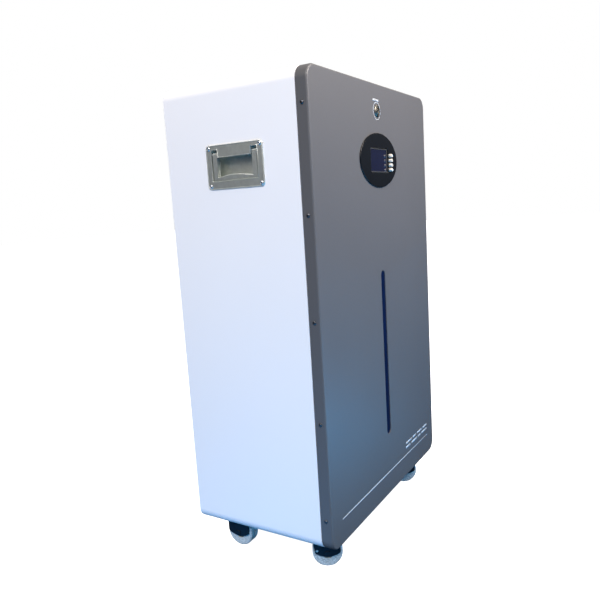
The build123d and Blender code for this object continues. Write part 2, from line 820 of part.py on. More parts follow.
def make_sockets():
    """Row of communication sockets behind the rear panel."""
    rear_face = y_rear - sheet
    sockets = []
    for x in socket_places():
        back = rear_face - socket_depth
        shell = upright(Rectangle(socket_width, socket_height), back, rear_face, x, z_terminal)
        floor = rear_face - mouth_depth
        mouth = upright(Rectangle(mouth_width, mouth_height), floor, rear_face + 1, x, z_terminal)
        sockets.append(shell - mouth)
    save("comm_sockets", *sockets)


def toggle_pivot_y():
    """Y of the breaker toggle's pivot axis."""
    return y_rear + breaker_nose_proud - toggle_pivot_depth


def make_breaker():
    """Main breaker behind the rear panel, with its toggle tilted to the on side."""
    nose_face = y_rear + breaker_nose_proud
    rear_face = y_rear - sheet
    back = rear_face - breaker_depth
    body = upright(Rectangle(breaker_width, breaker_height), back, rear_face, z=z_terminal)
    body += upright(Rectangle(breaker_nose_width, breaker_height), rear_face - 1, nose_face, z=z_terminal)
    half = toggle_width / 2 + slide_gap
    pocket_r = toggle_drum_r + toggle_clearance
    pocket = rod_z(pocket_r, z_terminal - half, z_terminal + half, 0, toggle_pivot_y())
    swing = pocket_r + toggle_side_room
    body -= pocket
    body -= block(-swing, swing, toggle_pivot_y(), nose_face + 1, z_terminal - half, z_terminal + half)
    save("breaker_body", body)

    drum = Cylinder(toggle_drum_r, toggle_width)
    lever = Pos(0, toggle_reach / 2, 0) * Box(toggle_thickness, toggle_reach, toggle_width)
    lever = fillet(lever.edges().filter_by(Axis.Z).group_by(Axis.Y)[-1], toggle_thickness * 0.4)
    save("breaker_toggle", Pos(0, toggle_pivot_y(), z_terminal) * (Rot(0, 0, toggle_angle) * (drum + lever)))


# ---------------------------------------------------------------- casters
plate_under = caster_height - caster_plate_thickness
fork_top = plate_under - fork_top_gap
fork_plate_low = fork_top - race_height - fork_sheet
fork_inner = wheel_width / 2 + fork_gap


def fork(trail):
    """Swivel fork about a vertical axis at the origin; its wheel centre is at y = trail."""
    outer = fork_inner + fork_sheet
    ahead = math.copysign(1, trail)
    half = ahead * fork_leg_width / 2
    plate_high = fork_plate_low + fork_sheet
    low, side_z = fork_bottom, fork_bottom + fork_arc_rise
    edge = Polyline((trail - half, side_z), (-ahead * fork_back, plate_high), (trail + half, plate_high),
                    (trail + half, side_z))
    arc = ThreePointArc((trail + half, side_z), (trail, low), (trail - half, side_z))
    profile = make_face(edge + arc)
    plane = Plane(origin=(-outer, 0, 0), x_dir=ALONG_Y, z_dir=ALONG_X)
    legs = extrude(plane * profile, amount=2 * outer)
    corners = legs.edges().filter_by(Axis.X).group_by(Axis.Z)[0]
    room = fork_leg_width + caster_trail
    legs = fillet(corners, fork_corner_r) - block(-fork_inner, fork_inner, -room, room, 0, fork_plate_low)
    head = rod_z(race_r, fork_plate_low, fork_top, 0, 0)
    head = fillet(head.edges().group_by(Axis.Z)[-1], 1.0)
    shape = legs + head
    shape -= rod_z(kingpin_r + pivot_running_gap, 0, caster_height, 0, 0)
    pocket_top = fork_plate_low + kingpin_head + slide_gap
    shape -= rod_z(kingpin_head_r + slide_gap, fork_plate_low - 1, pocket_top, 0, 0)
    return shape - rod_x(axle_r + fit_gap, -outer - 1, outer + 1, trail, wheel_r)


def axle():
    """Axle bolt along X with a round head at each end, centred on the origin."""
    outer = fork_inner + fork_sheet
    bolt = rod_x(axle_r, -outer - 1, outer + 1, 0, 0)
    for side in sides():
        ends = sorted((side * outer, side * (outer + axle_head)))
        head = rod_x(axle_head_r, ends[0], ends[1], 0, 0)
        face = head.faces().sort_by(Axis.X)[-1 if side > 0 else 0]
        bolt += fillet(face.edges(), axle_head_round)
    return bolt


def wheel_profile(outer_r, inner_r, width, radius):
    """Half section of a ring in the XZ plane, ready to turn about X."""
    section = Pos(0, (outer_r + inner_r) / 2) * Rectangle(width, outer_r - inner_r)
    return fillet(section.vertices().group_by(Axis.Y)[-1], radius)


def turned(section):
    """Turn a half section about X."""
    return revolve(Plane.XZ * section, Axis.X, 360)


def tread():
    """Wheel tread centred on the origin."""
    inner = wheel_r - tread_thickness
    return turned(wheel_profile(wheel_r, inner, wheel_width, tread_edge_r))


def hub():
    """Wheel centre with a thinner web between rim and boss."""
    rim_r = wheel_r - tread_thickness
    bore_r = axle_r + axle_running_gap
    solid = rod_x(rim_r - hub_press_gap, -wheel_width / 2, wheel_width / 2, 0, 0)
    for side in sides():
        ends = sorted((side * hub_web / 2, side * (wheel_width / 2 + 1)))
        recess_r = rim_r - hub_rim_wall
        solid -= (rod_x(recess_r, ends[0], ends[1], 0, 0) - rod_x(hub_boss_r, ends[0], ends[1], 0, 0))
    return solid - rod_x(bore_r, -wheel_width, wheel_width, 0, 0)


def make_casters():
    """Four swivel casters: fixed plates, screws and kingpins, then forks, axles and wheels."""
    bolt_length = caster_plate_thickness + sheet + base_sheet - fit_gap
    bolt = pan_screw(caster_bolt_r, caster_bolt_head_r, caster_bolt_head, bolt_length)
    plates, kingpins = [], []
    for name, x, y, ahead, turn in caster_places():
        plate = Pos(x, y, plate_under + caster_plate_thickness / 2) * extrude(
            RectangleRounded(caster_plate_x, caster_plate_y, 5), amount=caster_plate_thickness / 2, both=True)
        holes = [rod_z(caster_bolt_r + fit_gap, plate_under - 1, caster_height + 1, bx, by)
                 for bx, by in caster_bolt_places()]
        plate -= rod_z(kingpin_r + fit_gap, plate_under - 1, caster_height + 1, x, y)
        plates.append(cut_all(plate, [hole for hole in holes if touches(plate, hole)]))
        pin = rod_z(kingpin_r, fork_plate_low + slide_gap, caster_height - fit_gap, x, y)
        pin += rod_z(kingpin_head_r, fork_plate_low + slide_gap, fork_plate_low + kingpin_head, x, y)
        kingpins.append(pin)
        trail = ahead * caster_trail
        swivel = Pos(x, y, 0) * Rot(0, 0, turn)
        centre = swivel * Pos(0, trail, wheel_r)
        save(f"fork_{name}", swivel * fork(trail))
        save(f"axle_{name}", centre * axle())
        save(f"hub_{name}", centre * hub())
        save(f"tread_{name}", centre * tread())
    save("caster_plates", *plates)
    save("caster_kingpins", *kingpins)
    save("caster_screws", *[set_at(bolt, (x, y, plate_under), DOWN) for x, y in caster_bolt_places()])


make_case()
make_display()
make_power_button()
make_light_window()
make_handles()
make_cells()
make_management_board()
make_terminals()
make_sockets()
make_breaker()
make_casters()
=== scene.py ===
"""Finish and stage for a floor-standing battery cabinet on four swivel casters."""

import json
import math

import bmesh
import bpy
from bpy.props import FloatProperty, FloatVectorProperty, IntProperty, PointerProperty
from mathutils import Matrix, Vector


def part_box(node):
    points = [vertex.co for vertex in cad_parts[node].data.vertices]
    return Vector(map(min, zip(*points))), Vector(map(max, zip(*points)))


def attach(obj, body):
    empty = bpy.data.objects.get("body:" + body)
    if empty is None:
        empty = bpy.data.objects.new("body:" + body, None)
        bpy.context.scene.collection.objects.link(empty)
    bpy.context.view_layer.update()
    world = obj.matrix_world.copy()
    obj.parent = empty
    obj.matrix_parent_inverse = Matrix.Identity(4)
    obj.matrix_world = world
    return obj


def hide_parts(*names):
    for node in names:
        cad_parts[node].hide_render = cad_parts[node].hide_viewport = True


bl_info = {
    "name": "Battery cabinet finish",
    "version": (1, 0, 0),
    "blender": (4, 5, 0),
    "location": "View3D > Sidebar > Cabinet",
    "description": "Builds the visible surfaces, materials and stage of a battery cabinet around its frame",
    "category": "Object",
}

MM = 0.001
CABINET = "cabinet"
SIDES = (("left", -1), ("right", 1))
CORNERS = ("front_left", "front_right", "rear_left", "rear_right")
X, Y, Z = Vector((1, 0, 0)), Vector((0, 1, 0)), Vector((0, 0, 1))
NOISE_RANGE = (0.3, 0.7)
GLOSS_SPREAD = 0.12
COAT_ROUGHNESS = 0.08
FLOOR_GLOW = 1.05

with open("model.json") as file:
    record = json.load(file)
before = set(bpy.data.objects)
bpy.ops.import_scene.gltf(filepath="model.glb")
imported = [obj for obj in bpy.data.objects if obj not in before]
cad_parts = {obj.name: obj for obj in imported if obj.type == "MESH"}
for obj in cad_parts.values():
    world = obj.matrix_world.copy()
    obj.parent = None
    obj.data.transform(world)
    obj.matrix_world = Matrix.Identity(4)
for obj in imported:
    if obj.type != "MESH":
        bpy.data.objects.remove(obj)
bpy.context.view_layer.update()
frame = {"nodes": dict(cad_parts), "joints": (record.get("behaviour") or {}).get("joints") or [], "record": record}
cover_low, cover_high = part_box("front_cover")
sleeve_low, sleeve_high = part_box("body_sleeve")
panel_low, panel_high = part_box("display_panel")
SLOTS = {part["node"]: part["material_slot"] for part in frame["record"]["subparts"]}
BODY_OF = {node: body for body, nodes in frame["record"]["behaviour"]["bodies"].items() for node in nodes}


# ---- settings
class CabinetColours(bpy.types.PropertyGroup):
    """Base colours of the cabinet's finishes."""

    sleeve: FloatVectorProperty(name="Sleeve", description="White powder coat of the sleeve",
                                subtype="COLOR", default=(0.80, 0.80, 0.82))
    cover: FloatVectorProperty(name="Cover", description="Grey powder coat of the front cover",
                               subtype="COLOR", default=(0.085, 0.085, 0.090))
    acrylic: FloatVectorProperty(name="Display panel", description="Gloss black oval around the screen",
                                 subtype="COLOR", default=(0.004, 0.005, 0.007))
    screen: FloatVectorProperty(name="Screen", description="Dark indigo of the resting screen",
                                subtype="COLOR", default=(0.007, 0.009, 0.027))
    window: FloatVectorProperty(name="Light window", description="Smoked acrylic of the tall slot",
                                subtype="COLOR", default=(0.001, 0.007, 0.034))
    steel: FloatVectorProperty(name="Handle steel", description="Satin sheet steel of the drop handles",
                               subtype="COLOR", default=(0.78, 0.81, 0.76))
    tread: FloatVectorProperty(name="Tread", description="Light grey rubber of the caster treads",
                               subtype="COLOR", default=(0.60, 0.64, 0.63))
    print_ink: FloatVectorProperty(name="Printed marks", description="Pale ink on the cover",
                                   subtype="COLOR", default=(0.46, 0.50, 0.54))


class CabinetSizes(bpy.types.PropertyGroup):
    """Sizes of the details that the frame leaves open."""

    edge_round: FloatProperty(name="Edge rounding", description="Rounding of cut sheet edges",
                              default=0.5 * MM, unit="LENGTH")
    bend_radius: FloatProperty(name="Cover bend", description="Outside radius of the cover's folded edge",
                               default=3.0 * MM, unit="LENGTH")
    corner_radius: FloatProperty(name="Corner radius", description="Radius of the case's long edges",
                                 default=20.0 * MM, unit="LENGTH")
    sheet: FloatProperty(name="Sheet", description="Thickness of the case's sheet steel",
                         default=2.0 * MM, unit="LENGTH")
    corner_steps: IntProperty(name="Corner steps", description="Faces round each corner", default=14)
    ink: FloatProperty(name="Ink thickness", description="Thickness of printed marks",
                       default=0.12 * MM, unit="LENGTH")
    ring_radius: FloatProperty(name="Ring radius", default=13.8 * MM, unit="LENGTH",
                               description="Radius of the ring printed round the power button")
    tread_width: FloatProperty(name="Tread width", description="Width of the caster wheels",
                               default=22.0 * MM, unit="LENGTH")
    tread_depth: FloatProperty(name="Tread depth", description="Rubber from the wheel's centre to its rim",
                               default=12.0 * MM, unit="LENGTH")
    line_height: FloatProperty(name="Line height", description="Printed line's height above the case's foot",
                               default=41.0 * MM, unit="LENGTH")


class CabinetStage(bpy.types.PropertyGroup):
    """Camera and light."""

    camera_left: FloatProperty(name="Camera left", description="How far left of the case the camera stands",
                               default=0.9648, unit="LENGTH")
    camera_front: FloatProperty(name="Camera front", default=0.5548, unit="LENGTH",
                                description="How far in front of the case's middle it stands")
    camera_height: FloatProperty(name="Camera height", description="Camera height above the case's foot",
                                 default=0.5251, unit="LENGTH")
    azimuth: FloatProperty(name="Azimuth", description="Turn of the view from ahead to the right",
                           subtype="ANGLE", default=math.radians(58.31))
    elevation: FloatProperty(name="Elevation", description="How far the view looks down",
                             subtype="ANGLE", default=math.radians(8.84))
    roll: FloatProperty(name="Roll", description="Tilt of the camera about its line of sight",
                        subtype="ANGLE", default=math.radians(-3.5))
    lens: FloatProperty(name="Lens", description="Focal length in millimetres on a 36 mm sensor", default=36.69)
    floor_colour: FloatVectorProperty(name="Floor", description="Pale studio floor",
                                      subtype="COLOR", default=(0.90, 0.90, 0.91))


def colours():
    """Colours in use."""
    return bpy.context.scene.cabinet_colours


def sizes():
    """Sizes in use."""
    return bpy.context.scene.cabinet_sizes


# ---- materials
def wire(node, inputs):
    """Give a node's inputs their values, or link those that are given another node's output."""
    for name, value in inputs.items():
        if isinstance(value, bpy.types.NodeSocket):
            node.id_data.links.new(value, node.inputs[name])
        else:
            node.inputs[name].default_value = value


def add_node(tree, kind, inputs=None, **settings):
    """A new node with its settings and inputs."""
    node = tree.nodes.new(kind)
    for name, value in settings.items():
        setattr(node, name, value)
    wire(node, inputs or {})
    return node


def new_material(name):
    """A new material with its shader and its object coordinates, or the one already made."""
    label = f"cabinet_{name}"
    material = bpy.data.materials.get(label)
    if material:
        return material, None, None, None
    material = bpy.data.materials.new(label)
    material.use_nodes = True
    tree = material.node_tree
    return material, tree, tree.nodes["Principled BSDF"], add_node(tree, "ShaderNodeTexCoord").outputs["Object"]


def noise(tree, coords, scale, detail=2.0, stretch=(1, 1, 1)):
    """Noise on object coordinates, stretched where the finish has a direction."""
    mapping = add_node(tree, "ShaderNodeMapping", {"Scale": stretch, "Vector": coords})
    return add_node(tree, "ShaderNodeTexNoise", {"Scale": scale, "Detail": detail,
                                                 "Vector": mapping.outputs["Vector"]}).outputs["Fac"]


def shade_of(colour, factor):
    """A colour made lighter or darker, with its alpha."""
    return tuple(min(1.0, channel * factor) for channel in colour) + (1.0,)


def blend_colours(tree, factor, low, high, contrast=0.5):
    """A ramp between two colours, driven by a pattern."""
    node = add_node(tree, "ShaderNodeValToRGB", {"Fac": factor})
    first, last = node.color_ramp.elements
    first.position, last.position = 0.5 - contrast / 2, 0.5 + contrast / 2
    first.color, last.color = low, high
    return node.outputs["Color"]


def spread(tree, factor, low, high):
    """A pattern mapped to a range of values."""
    return add_node(tree, "ShaderNodeMapRange", {
        "From Min": NOISE_RANGE[0], "From Max": NOISE_RANGE[1], "To Min": low, "To Max": high,
        "Value": factor}).outputs["Result"]


def relief(tree, height, distance):
    """Bump from a pattern's height in metres."""
    return add_node(tree, "ShaderNodeBump", {"Strength": 1.0, "Distance": distance,
                                             "Height": height}).outputs["Normal"]


def finish(name, colour, roughness, grain, depth, metallic=0.0, variation=0.06, patch=9.0,
           stretch=(1, 1, 1), coat=0.0, gloss=0.5):
    """A surface with a fine grain, slow colour variation and uneven gloss."""
    material, tree, shader, coords = new_material(name)
    if tree is None:
        return material
    slow = noise(tree, coords, patch, 3.0)
    fine = noise(tree, coords, grain, 2.0, stretch)
    tone = blend_colours(tree, slow, shade_of(colour, 1 - variation), shade_of(colour, 1 + variation))
    wire(shader, {
        "Base Color": tone,
        "Roughness": spread(tree, fine, roughness * (1 - GLOSS_SPREAD), roughness * (1 + GLOSS_SPREAD)),
        "Normal": relief(tree, fine, depth), "Metallic": metallic, "Specular IOR Level": gloss,
        "Coat Weight": coat, "Coat Roughness": COAT_ROUGHNESS})
    return material


def screen_glass():
    """Resting screen: indigo behind glass, with its fine dot grid."""
    material, tree, shader, coords = new_material("screen_glass")
    if tree is None:
        return material
    dots_per_metre, gap_share, indigo = 1600, 0.06, colours().screen
    turn = add_node(tree, "ShaderNodeMapping", {"Rotation": (math.radians(90), 0, 0), "Vector": coords})
    grid = add_node(tree, "ShaderNodeTexBrick", {
        "Scale": dots_per_metre, "Mortar Size": gap_share, "Color1": shade_of(indigo, 1.0),
        "Color2": shade_of(indigo, 1.12), "Mortar": shade_of(indigo, 0.7),
        "Vector": turn.outputs["Vector"]}, offset=0.0)
    smear = noise(tree, coords, 60.0, 4.0)
    wire(shader, {"Base Color": grid.outputs["Color"], "Roughness": spread(tree, smear, 0.07, 0.13),
                  "Specular IOR Level": 0.3})
    return material


def tread_rubber():
    """Light grey rubber with darker specks and a moulded grain."""
    material, tree, shader, coords = new_material("tread_rubber")
    if tree is None:
        return material
    base = colours().tread
    specks, dust = noise(tree, coords, 520, 3.0), noise(tree, coords, 70, 4.0)
    tone = blend_colours(tree, specks, shade_of(base, 0.62), shade_of(base, 1.1), contrast=0.22)
    wire(shader, {"Base Color": tone, "Roughness": spread(tree, dust, 0.55, 0.8),
                  "Normal": relief(tree, specks, 1.2e-4)})
    return material


def circuit_board():
    """Green solder mask with copper tracks under it."""
    material, tree, shader, coords = new_material("circuit_board")
    if tree is None:
        return material
    tracks = add_node(tree, "ShaderNodeTexVoronoi", distance="CHEBYCHEV", feature="DISTANCE_TO_EDGE")
    wire(tracks, {"Scale": 130.0, "Vector": coords})
    distance = tracks.outputs["Distance"]
    tone = blend_colours(tree, distance, (0.09, 0.30, 0.14, 1), (0.02, 0.13, 0.06, 1), 0.12)
    wire(shader, {"Base Color": tone, "Normal": relief(tree, distance, 5e-5), "Roughness": 0.3})
    return material


def floor_paint():
    """Pale matt studio floor, lit a little from within."""
    material = finish("floor_paint", bpy.context.scene.cabinet_stage.floor_colour, 0.85, 40, 2e-5,
                      variation=0.006, patch=1.5)
    wire(material.node_tree.nodes["Principled BSDF"],
         {"Emission Color": (1.0, 1.0, 1.0, 1.0), "Emission Strength": FLOOR_GLOW})
    return material


MOULDED = {"variation": 0.05, "patch": 40}
PATTERNED_FINISHES = {
    "screen_glass": screen_glass, "tread_rubber": tread_rubber, "circuit_board": circuit_board,
}
FINISHES = {
    "white_powder_coat": ("sleeve", 0.45, 900, 4e-5, {"variation": 0.012, "patch": 4, "gloss": 0.3}),
    "grey_powder_coat": ("cover", 0.42, 1100, 6e-5, {"variation": 0.03, "patch": 6, "gloss": 0.3}),
    "satin_steel": ("steel", 0.34, 260, 4e-6, {"metallic": 0.92, "variation": 0.07, "patch": 120}),
    "zinc_plate": ((0.60, 0.62, 0.64), 0.30, 420, 2e-5, {"metallic": 1, "variation": 0.08, "patch": 60}),
    "dark_screw": ((0.10, 0.105, 0.12), 0.35, 500, 2e-5, {"metallic": 0.9, "variation": 0.1, "patch": 90}),
    "polished_steel": ((0.14, 0.135, 0.12), 0.38, 350, 8e-6, {"metallic": 1, "variation": 0.08, "patch": 80}),
    "gloss_acrylic": ("acrylic", 0.10, 160, 4e-6, {"variation": 0.15, "patch": 18, "gloss": 0.25}),
    "smoked_acrylic": ("window", 0.12, 140, 6e-6, {"variation": 0.2, "patch": 12, "gloss": 0.12}),
    "silver_plastic": ((0.56, 0.54, 0.49), 0.34, 700, 1e-5, {"metallic": 0.15, "variation": 0.04, "patch": 90}),
    "black_fork_coat": ((0.004, 0.009, 0.018), 0.42, 650, 5e-5,
                        {"variation": 0.15, "patch": 50, "gloss": 0.25}),
    "printed_ink": ("print_ink", 0.45, 900, 1e-5, {"variation": 0.04, "patch": 120}),
    "cell_wrap": ((0.03, 0.10, 0.34), 0.30, 90, 6e-5, {"variation": 0.08, "patch": 12, "coat": 0.3}),
    "cast_aluminium": ((0.66, 0.67, 0.69), 0.34, 320, 2e-5,
                       {"metallic": 1, "variation": 0.04, "patch": 30, "stretch": (0.1, 1, 1)}),
    "bare_copper": ((0.66, 0.33, 0.20), 0.28, 300, 1e-5, {"metallic": 1, "variation": 0.1, "patch": 40}),
    "plated_brass": ((0.72, 0.60, 0.34), 0.24, 300, 1e-5, {"metallic": 1, "variation": 0.06, "patch": 60}),
    "black_plastic": ((0.022, 0.023, 0.026), 0.5, 1400, 3e-5, MOULDED),
    "light_plastic": ((0.62, 0.62, 0.60), 0.45, 1400, 3e-5, MOULDED),
    "red_plastic": ((0.50, 0.025, 0.02), 0.42, 1400, 3e-5, MOULDED),
    "grey_nylon": ("tread", 0.5, 1400, 3e-5, MOULDED),
}
# Slots whose finish has another name; the rest share theirs.
FINISH_OF_SLOT = {
    "zinc_plated_steel": "zinc_plate", "dark_screw_steel": "dark_screw", "pressed_steel": "satin_steel",
    "black_acrylic": "gloss_acrylic", "cell_aluminium": "cast_aluminium", "terminal_brass": "plated_brass",
    "black_fork_steel": "black_fork_coat", "grey_tread_rubber": "tread_rubber",
}


def surface(name):
    """The material of a finish."""
    if name in PATTERNED_FINISHES:
        return PATTERNED_FINISHES[name]()
    colour, roughness, grain, depth, rest = FINISHES[name]
    if isinstance(colour, str):
        colour = getattr(colours(), colour)
    return finish(name, colour, roughness, grain, depth, **rest)


def surface_of(node):
    """The material of a frame part."""
    if node == "battery_cells":
        return surface("cell_wrap")
    return surface(FINISH_OF_SLOT.get(SLOTS[node], SLOTS[node]))


# ---- mesh helpers
def mesh_from(bm, name):
    """A mesh with its doubles merged and its normals set outwards."""
    bmesh.ops.remove_doubles(bm, verts=bm.verts, dist=1e-6)
    bmesh.ops.recalc_face_normals(bm, faces=bm.faces)
    mesh = bpy.data.meshes.new(name)
    bm.to_mesh(mesh)
    bm.free()
    return mesh


def piece(name, mesh, material, body=CABINET, node=None, sharp=35):
    """Link a mesh, or a loose shape, as one piece of the object, hang it on its body and hide the frame part it
    stands for.
    """
    if isinstance(mesh, bmesh.types.BMesh):
        mesh = mesh_from(mesh, name)
    mesh.materials.clear()
    mesh.materials.append(material)
    mesh.shade_smooth()
    mesh.set_sharp_from_angle(angle=math.radians(sharp))
    obj = bpy.data.objects.new(name, mesh)
    bpy.context.scene.collection.objects.link(obj)
    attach(obj, body)
    if node:
        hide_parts(node)
    return obj


def soften(obj, width, segments=2):
    """Round a piece's sharp edges and shade it by its larger faces, which stay flat."""
    bevel = obj.modifiers.new("edge", "BEVEL")
    bevel.width = width
    bevel.segments = segments
    bevel.limit_method = "ANGLE"
    bevel.angle_limit = math.radians(40)
    normals = obj.modifiers.new("normals", "WEIGHTED_NORMAL")
    normals.keep_sharp = True


def thicken(obj, thickness, offset=-1.0, even=True):
    """Give a sheet its wall, inwards from its outer face unless the offset is 1."""
    solid = obj.modifiers.new("wall", "SOLIDIFY")
    solid.thickness = thickness
    solid.offset = offset
    solid.use_even_offset = even


def refined(name, node, material=None, bevel=0.0, keep=None):
    """A welded copy of a frame part with rounded edges; keep chooses which of its solids stay."""
    mesh = frame["nodes"][node].data.copy()
    bm = bmesh.new()
    bm.from_mesh(mesh)
    bmesh.ops.remove_doubles(bm, verts=bm.verts, dist=2e-6)
    if keep:
        dropped = [vert for vert in bm.verts if not keep(vert.co)]
        bmesh.ops.delete(bm, geom=dropped, context="VERTS")
    bmesh.ops.dissolve_limit(bm, angle_limit=math.radians(0.6), verts=bm.verts, edges=bm.edges)
    bm.to_mesh(mesh)
    bm.free()
    obj = piece(name, mesh, material or surface_of(node), BODY_OF[node], node)
    if bevel:
        soften(obj, bevel)
    return obj


def middle_of(node):
    """X, y and z of the middle of a frame part's box."""
    low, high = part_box(node)
    return [(a + b) / 2 for a, b in zip(low, high)]


def profile_mm(points, radius=0.0, along=0.0):
    """Profile points given in millimetres from a starting radius and a place along the axis."""
    return [(radius + out * MM, along + on * MM) for out, on in points]


def join_loops(bm, first, second):
    """Quads between two closed loops of vertices of equal length."""
    count = len(first)
    for index in range(count):
        after = (index + 1) % count
        bm.faces.new((first[index], first[after], second[after], second[index]))


def loft(loops, caps=False):
    """A skin through closed loops of points."""
    bm = bmesh.new()
    rings = [[bm.verts.new(point) for point in loop] for loop in loops]
    for first, second in zip(rings, rings[1:]):
        join_loops(bm, first, second)
    if caps:
        bm.faces.new(rings[0])
        bm.faces.new(rings[-1])
    return bm


def turned(profile, centre, axis, steps=48, closed=False):
    """Turn (radius, along) points about an axis; a closed profile makes a ring."""
    direction = Vector(axis).normalized()
    side = direction.orthogonal().normalized()
    other = direction.cross(side)
    bm = bmesh.new()
    rings = []
    for radius, along in profile:
        base = Vector(centre) + direction * along
        if radius < 1e-7:
            rings.append([bm.verts.new(base)])
            continue
        turn = [2 * math.pi * step / steps for step in range(steps)]
        rings.append([bm.verts.new(base + side * (radius * math.cos(a)) + other * (radius * math.sin(a)))
                      for a in turn])
    pairs = list(zip(rings, rings[1:]))
    if closed:
        pairs.append((rings[-1], rings[0]))
    for first, second in pairs:
        if len(first) == 1 and len(second) == 1:
            continue
        if len(first) == 1 or len(second) == 1:
            tip, ring = (first[0], second) if len(first) == 1 else (second[0], first)
            for index in range(steps):
                bm.faces.new((tip, ring[index], ring[(index + 1) % steps]))
        else:
            join_loops(bm, first, second)
    return bm


def rounded_outline(half_x, half_z, radius, steps, stops=()):
    """Points round an upright rounded rectangle; stops add heights on both straight sides."""
    points = []
    corners = ((1, 1, 0), (-1, 1, 90), (-1, -1, 180), (1, -1, 270))
    for sign_x, sign_z, start in corners:
        centre_x, centre_z = sign_x * (half_x - radius), sign_z * (half_z - radius)
        for step in range(steps + 1):
            angle = math.radians(start + 90 * step / steps)
            points.append((centre_x + radius * math.cos(angle), centre_z + radius * math.sin(angle)))
        if start == 90:
            points += [(-half_x, z) for z in sorted(stops, reverse=True)]
    points += [(half_x, z) for z in sorted(stops)]
    return points


def oval_outline(half_x, half_z, steps=96):
    """Points round an ellipse."""
    turns = [2 * math.pi * step / steps for step in range(steps)]
    return [(half_x * math.cos(turn), half_z * math.sin(turn)) for turn in turns]


def slot_outline(length, width, steps=16):
    """Points round an upright slot with round ends."""
    radius, reach = width / 2, (length - width) / 2
    points = []
    for end in (1, -1):
        for step in range(steps + 1):
            angle = math.pi * step / steps + (0 if end > 0 else math.pi)
            points.append((radius * math.cos(angle), end * reach + radius * math.sin(angle)))
    return points


def placed(outline, x, z, y):
    """An outline stood up in the XZ plane at a place."""
    return [Vector((x + px, y, z + pz)) for px, pz in outline]


def pierced_face(bm, outer, holes):
    """A flat face inside a loop of vertices, with holes."""
    loops = [outer] + [[bm.verts.new(point) for point in hole] for hole in holes]
    edges = []
    for loop in loops:
        for index, vert in enumerate(loop):
            pair = (vert, loop[(index + 1) % len(loop)])
            edges.append(bm.edges.get(pair) or bm.edges.new(pair))
    bmesh.ops.triangle_fill(bm, edges=edges, use_beauty=True, use_dissolve=False)


def facing_mesh(bm, name, facing=-1):
    """A flat mesh whose faces look to the front, or to the rear when facing is 1."""
    for face in bm.faces:
        face.normal_update()
        if face.normal.y * facing < 0:
            face.normal_flip()
    mesh = bpy.data.meshes.new(name)
    bm.to_mesh(mesh)
    bm.free()
    return mesh


def flat_plate(name, outer, holes, front, back, material, edge, node=None):
    """An upright plate from its outline and holes, with rounded edges."""
    outline, x, z = outer
    bm = bmesh.new()
    loop = [bm.verts.new(point) for point in placed(outline, x, z, front)]
    pierced_face(bm, loop, [placed(hole, hx, hz, front) for hole, hx, hz in holes])
    obj = piece(name, facing_mesh(bm, name), material, CABINET, node)
    thicken(obj, back - front)
    soften(obj, edge, 3)


# ---- case
def handle_hole(side):
    """Lowest and highest corner of the sleeve's opening for one handle pocket."""
    low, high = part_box(f"handle_dish_{side}")
    beside, below, above = 8.2 * MM, 11.0 * MM, 5.8 * MM
    return low.y + beside, high.y - beside, low.z + below, high.z - above


def build_sleeve():
    """White sleeve: one rounded tube of sheet, open for the two handle pockets."""
    size = sizes()
    y0, y1, z0, z1 = handle_hole("left")
    centre_z = middle_of("body_sleeve")[2]
    half_z = (sleeve_high.z - sleeve_low.z) / 2
    outline = rounded_outline(sleeve_high.x, half_z, size.corner_radius, size.corner_steps,
                              (z0 - centre_z, z1 - centre_z))
    stations = (sleeve_low.y, y0, y1, sleeve_high.y)
    bm = loft([placed(outline, 0, centre_z, y) for y in stations])
    for face in list(bm.faces):
        middle = face.calc_center_median()
        beside = abs(abs(middle.x) - sleeve_high.x) < MM
        if beside and y0 < middle.y < y1 and z0 < middle.z < z1:
            bm.faces.remove(face)
    obj = piece("case_sleeve", bm, surface("white_powder_coat"), node="body_sleeve")
    thicken(obj, size.sheet)
    soften(obj, size.edge_round)


def light_slot():
    """Centre height, length and width of the cover's light slot."""
    low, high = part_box("light_window")
    flange = 4.0 * MM
    return middle_of("light_window")[2], high.z - low.z - 2 * flange, high.x - low.x - 2 * flange


def button_centre():
    """Height of the power button."""
    return middle_of("power_button_body")[2]


def build_cover():
    """Grey front cover: a folded tray with its oval, round and slotted openings."""
    size = sizes()
    centre_z = middle_of("front_cover")[2]
    half_z = (cover_high.z - cover_low.z) / 2
    bend, steps = size.bend_radius, 6
    loops = []
    for step in range(steps + 1):
        angle = math.radians(90 * step / steps)
        inset = bend * (1 - math.sin(angle))
        y = cover_low.y + bend * (1 - math.cos(angle))
        outline = rounded_outline(cover_high.x - inset, half_z - inset, size.corner_radius - inset,
                                  size.corner_steps)
        loops.append(placed(outline, 0, centre_z, y))
    outline = rounded_outline(cover_high.x, half_z, size.corner_radius, size.corner_steps)
    loops.append(placed(outline, 0, centre_z, cover_high.y))
    bm = loft(loops)
    bm.verts.ensure_lookup_table()
    front = [bm.verts[index] for index in range(len(loops[0]))]
    slot_z, slot_length, slot_width = light_slot()
    panel_z = middle_of("display_panel")[2]
    margin, button_hole, cut_edge = 8.0 * MM, 8.1 * MM, 0.35 * MM
    half_oval = (panel_high.x - margin, (panel_high.z - panel_low.z) / 2 - margin)
    holes = [placed(oval_outline(*half_oval), 0, panel_z, cover_low.y),
             placed(slot_outline(slot_length, slot_width), 0, slot_z, cover_low.y),
             placed(oval_outline(button_hole, button_hole, 40), 0, button_centre(), cover_low.y)]
    pierced_face(bm, front, holes)
    obj = piece("case_front_cover", bm, surface("grey_powder_coat"), node="front_cover")
    thicken(obj, size.sheet)
    soften(obj, cut_edge)


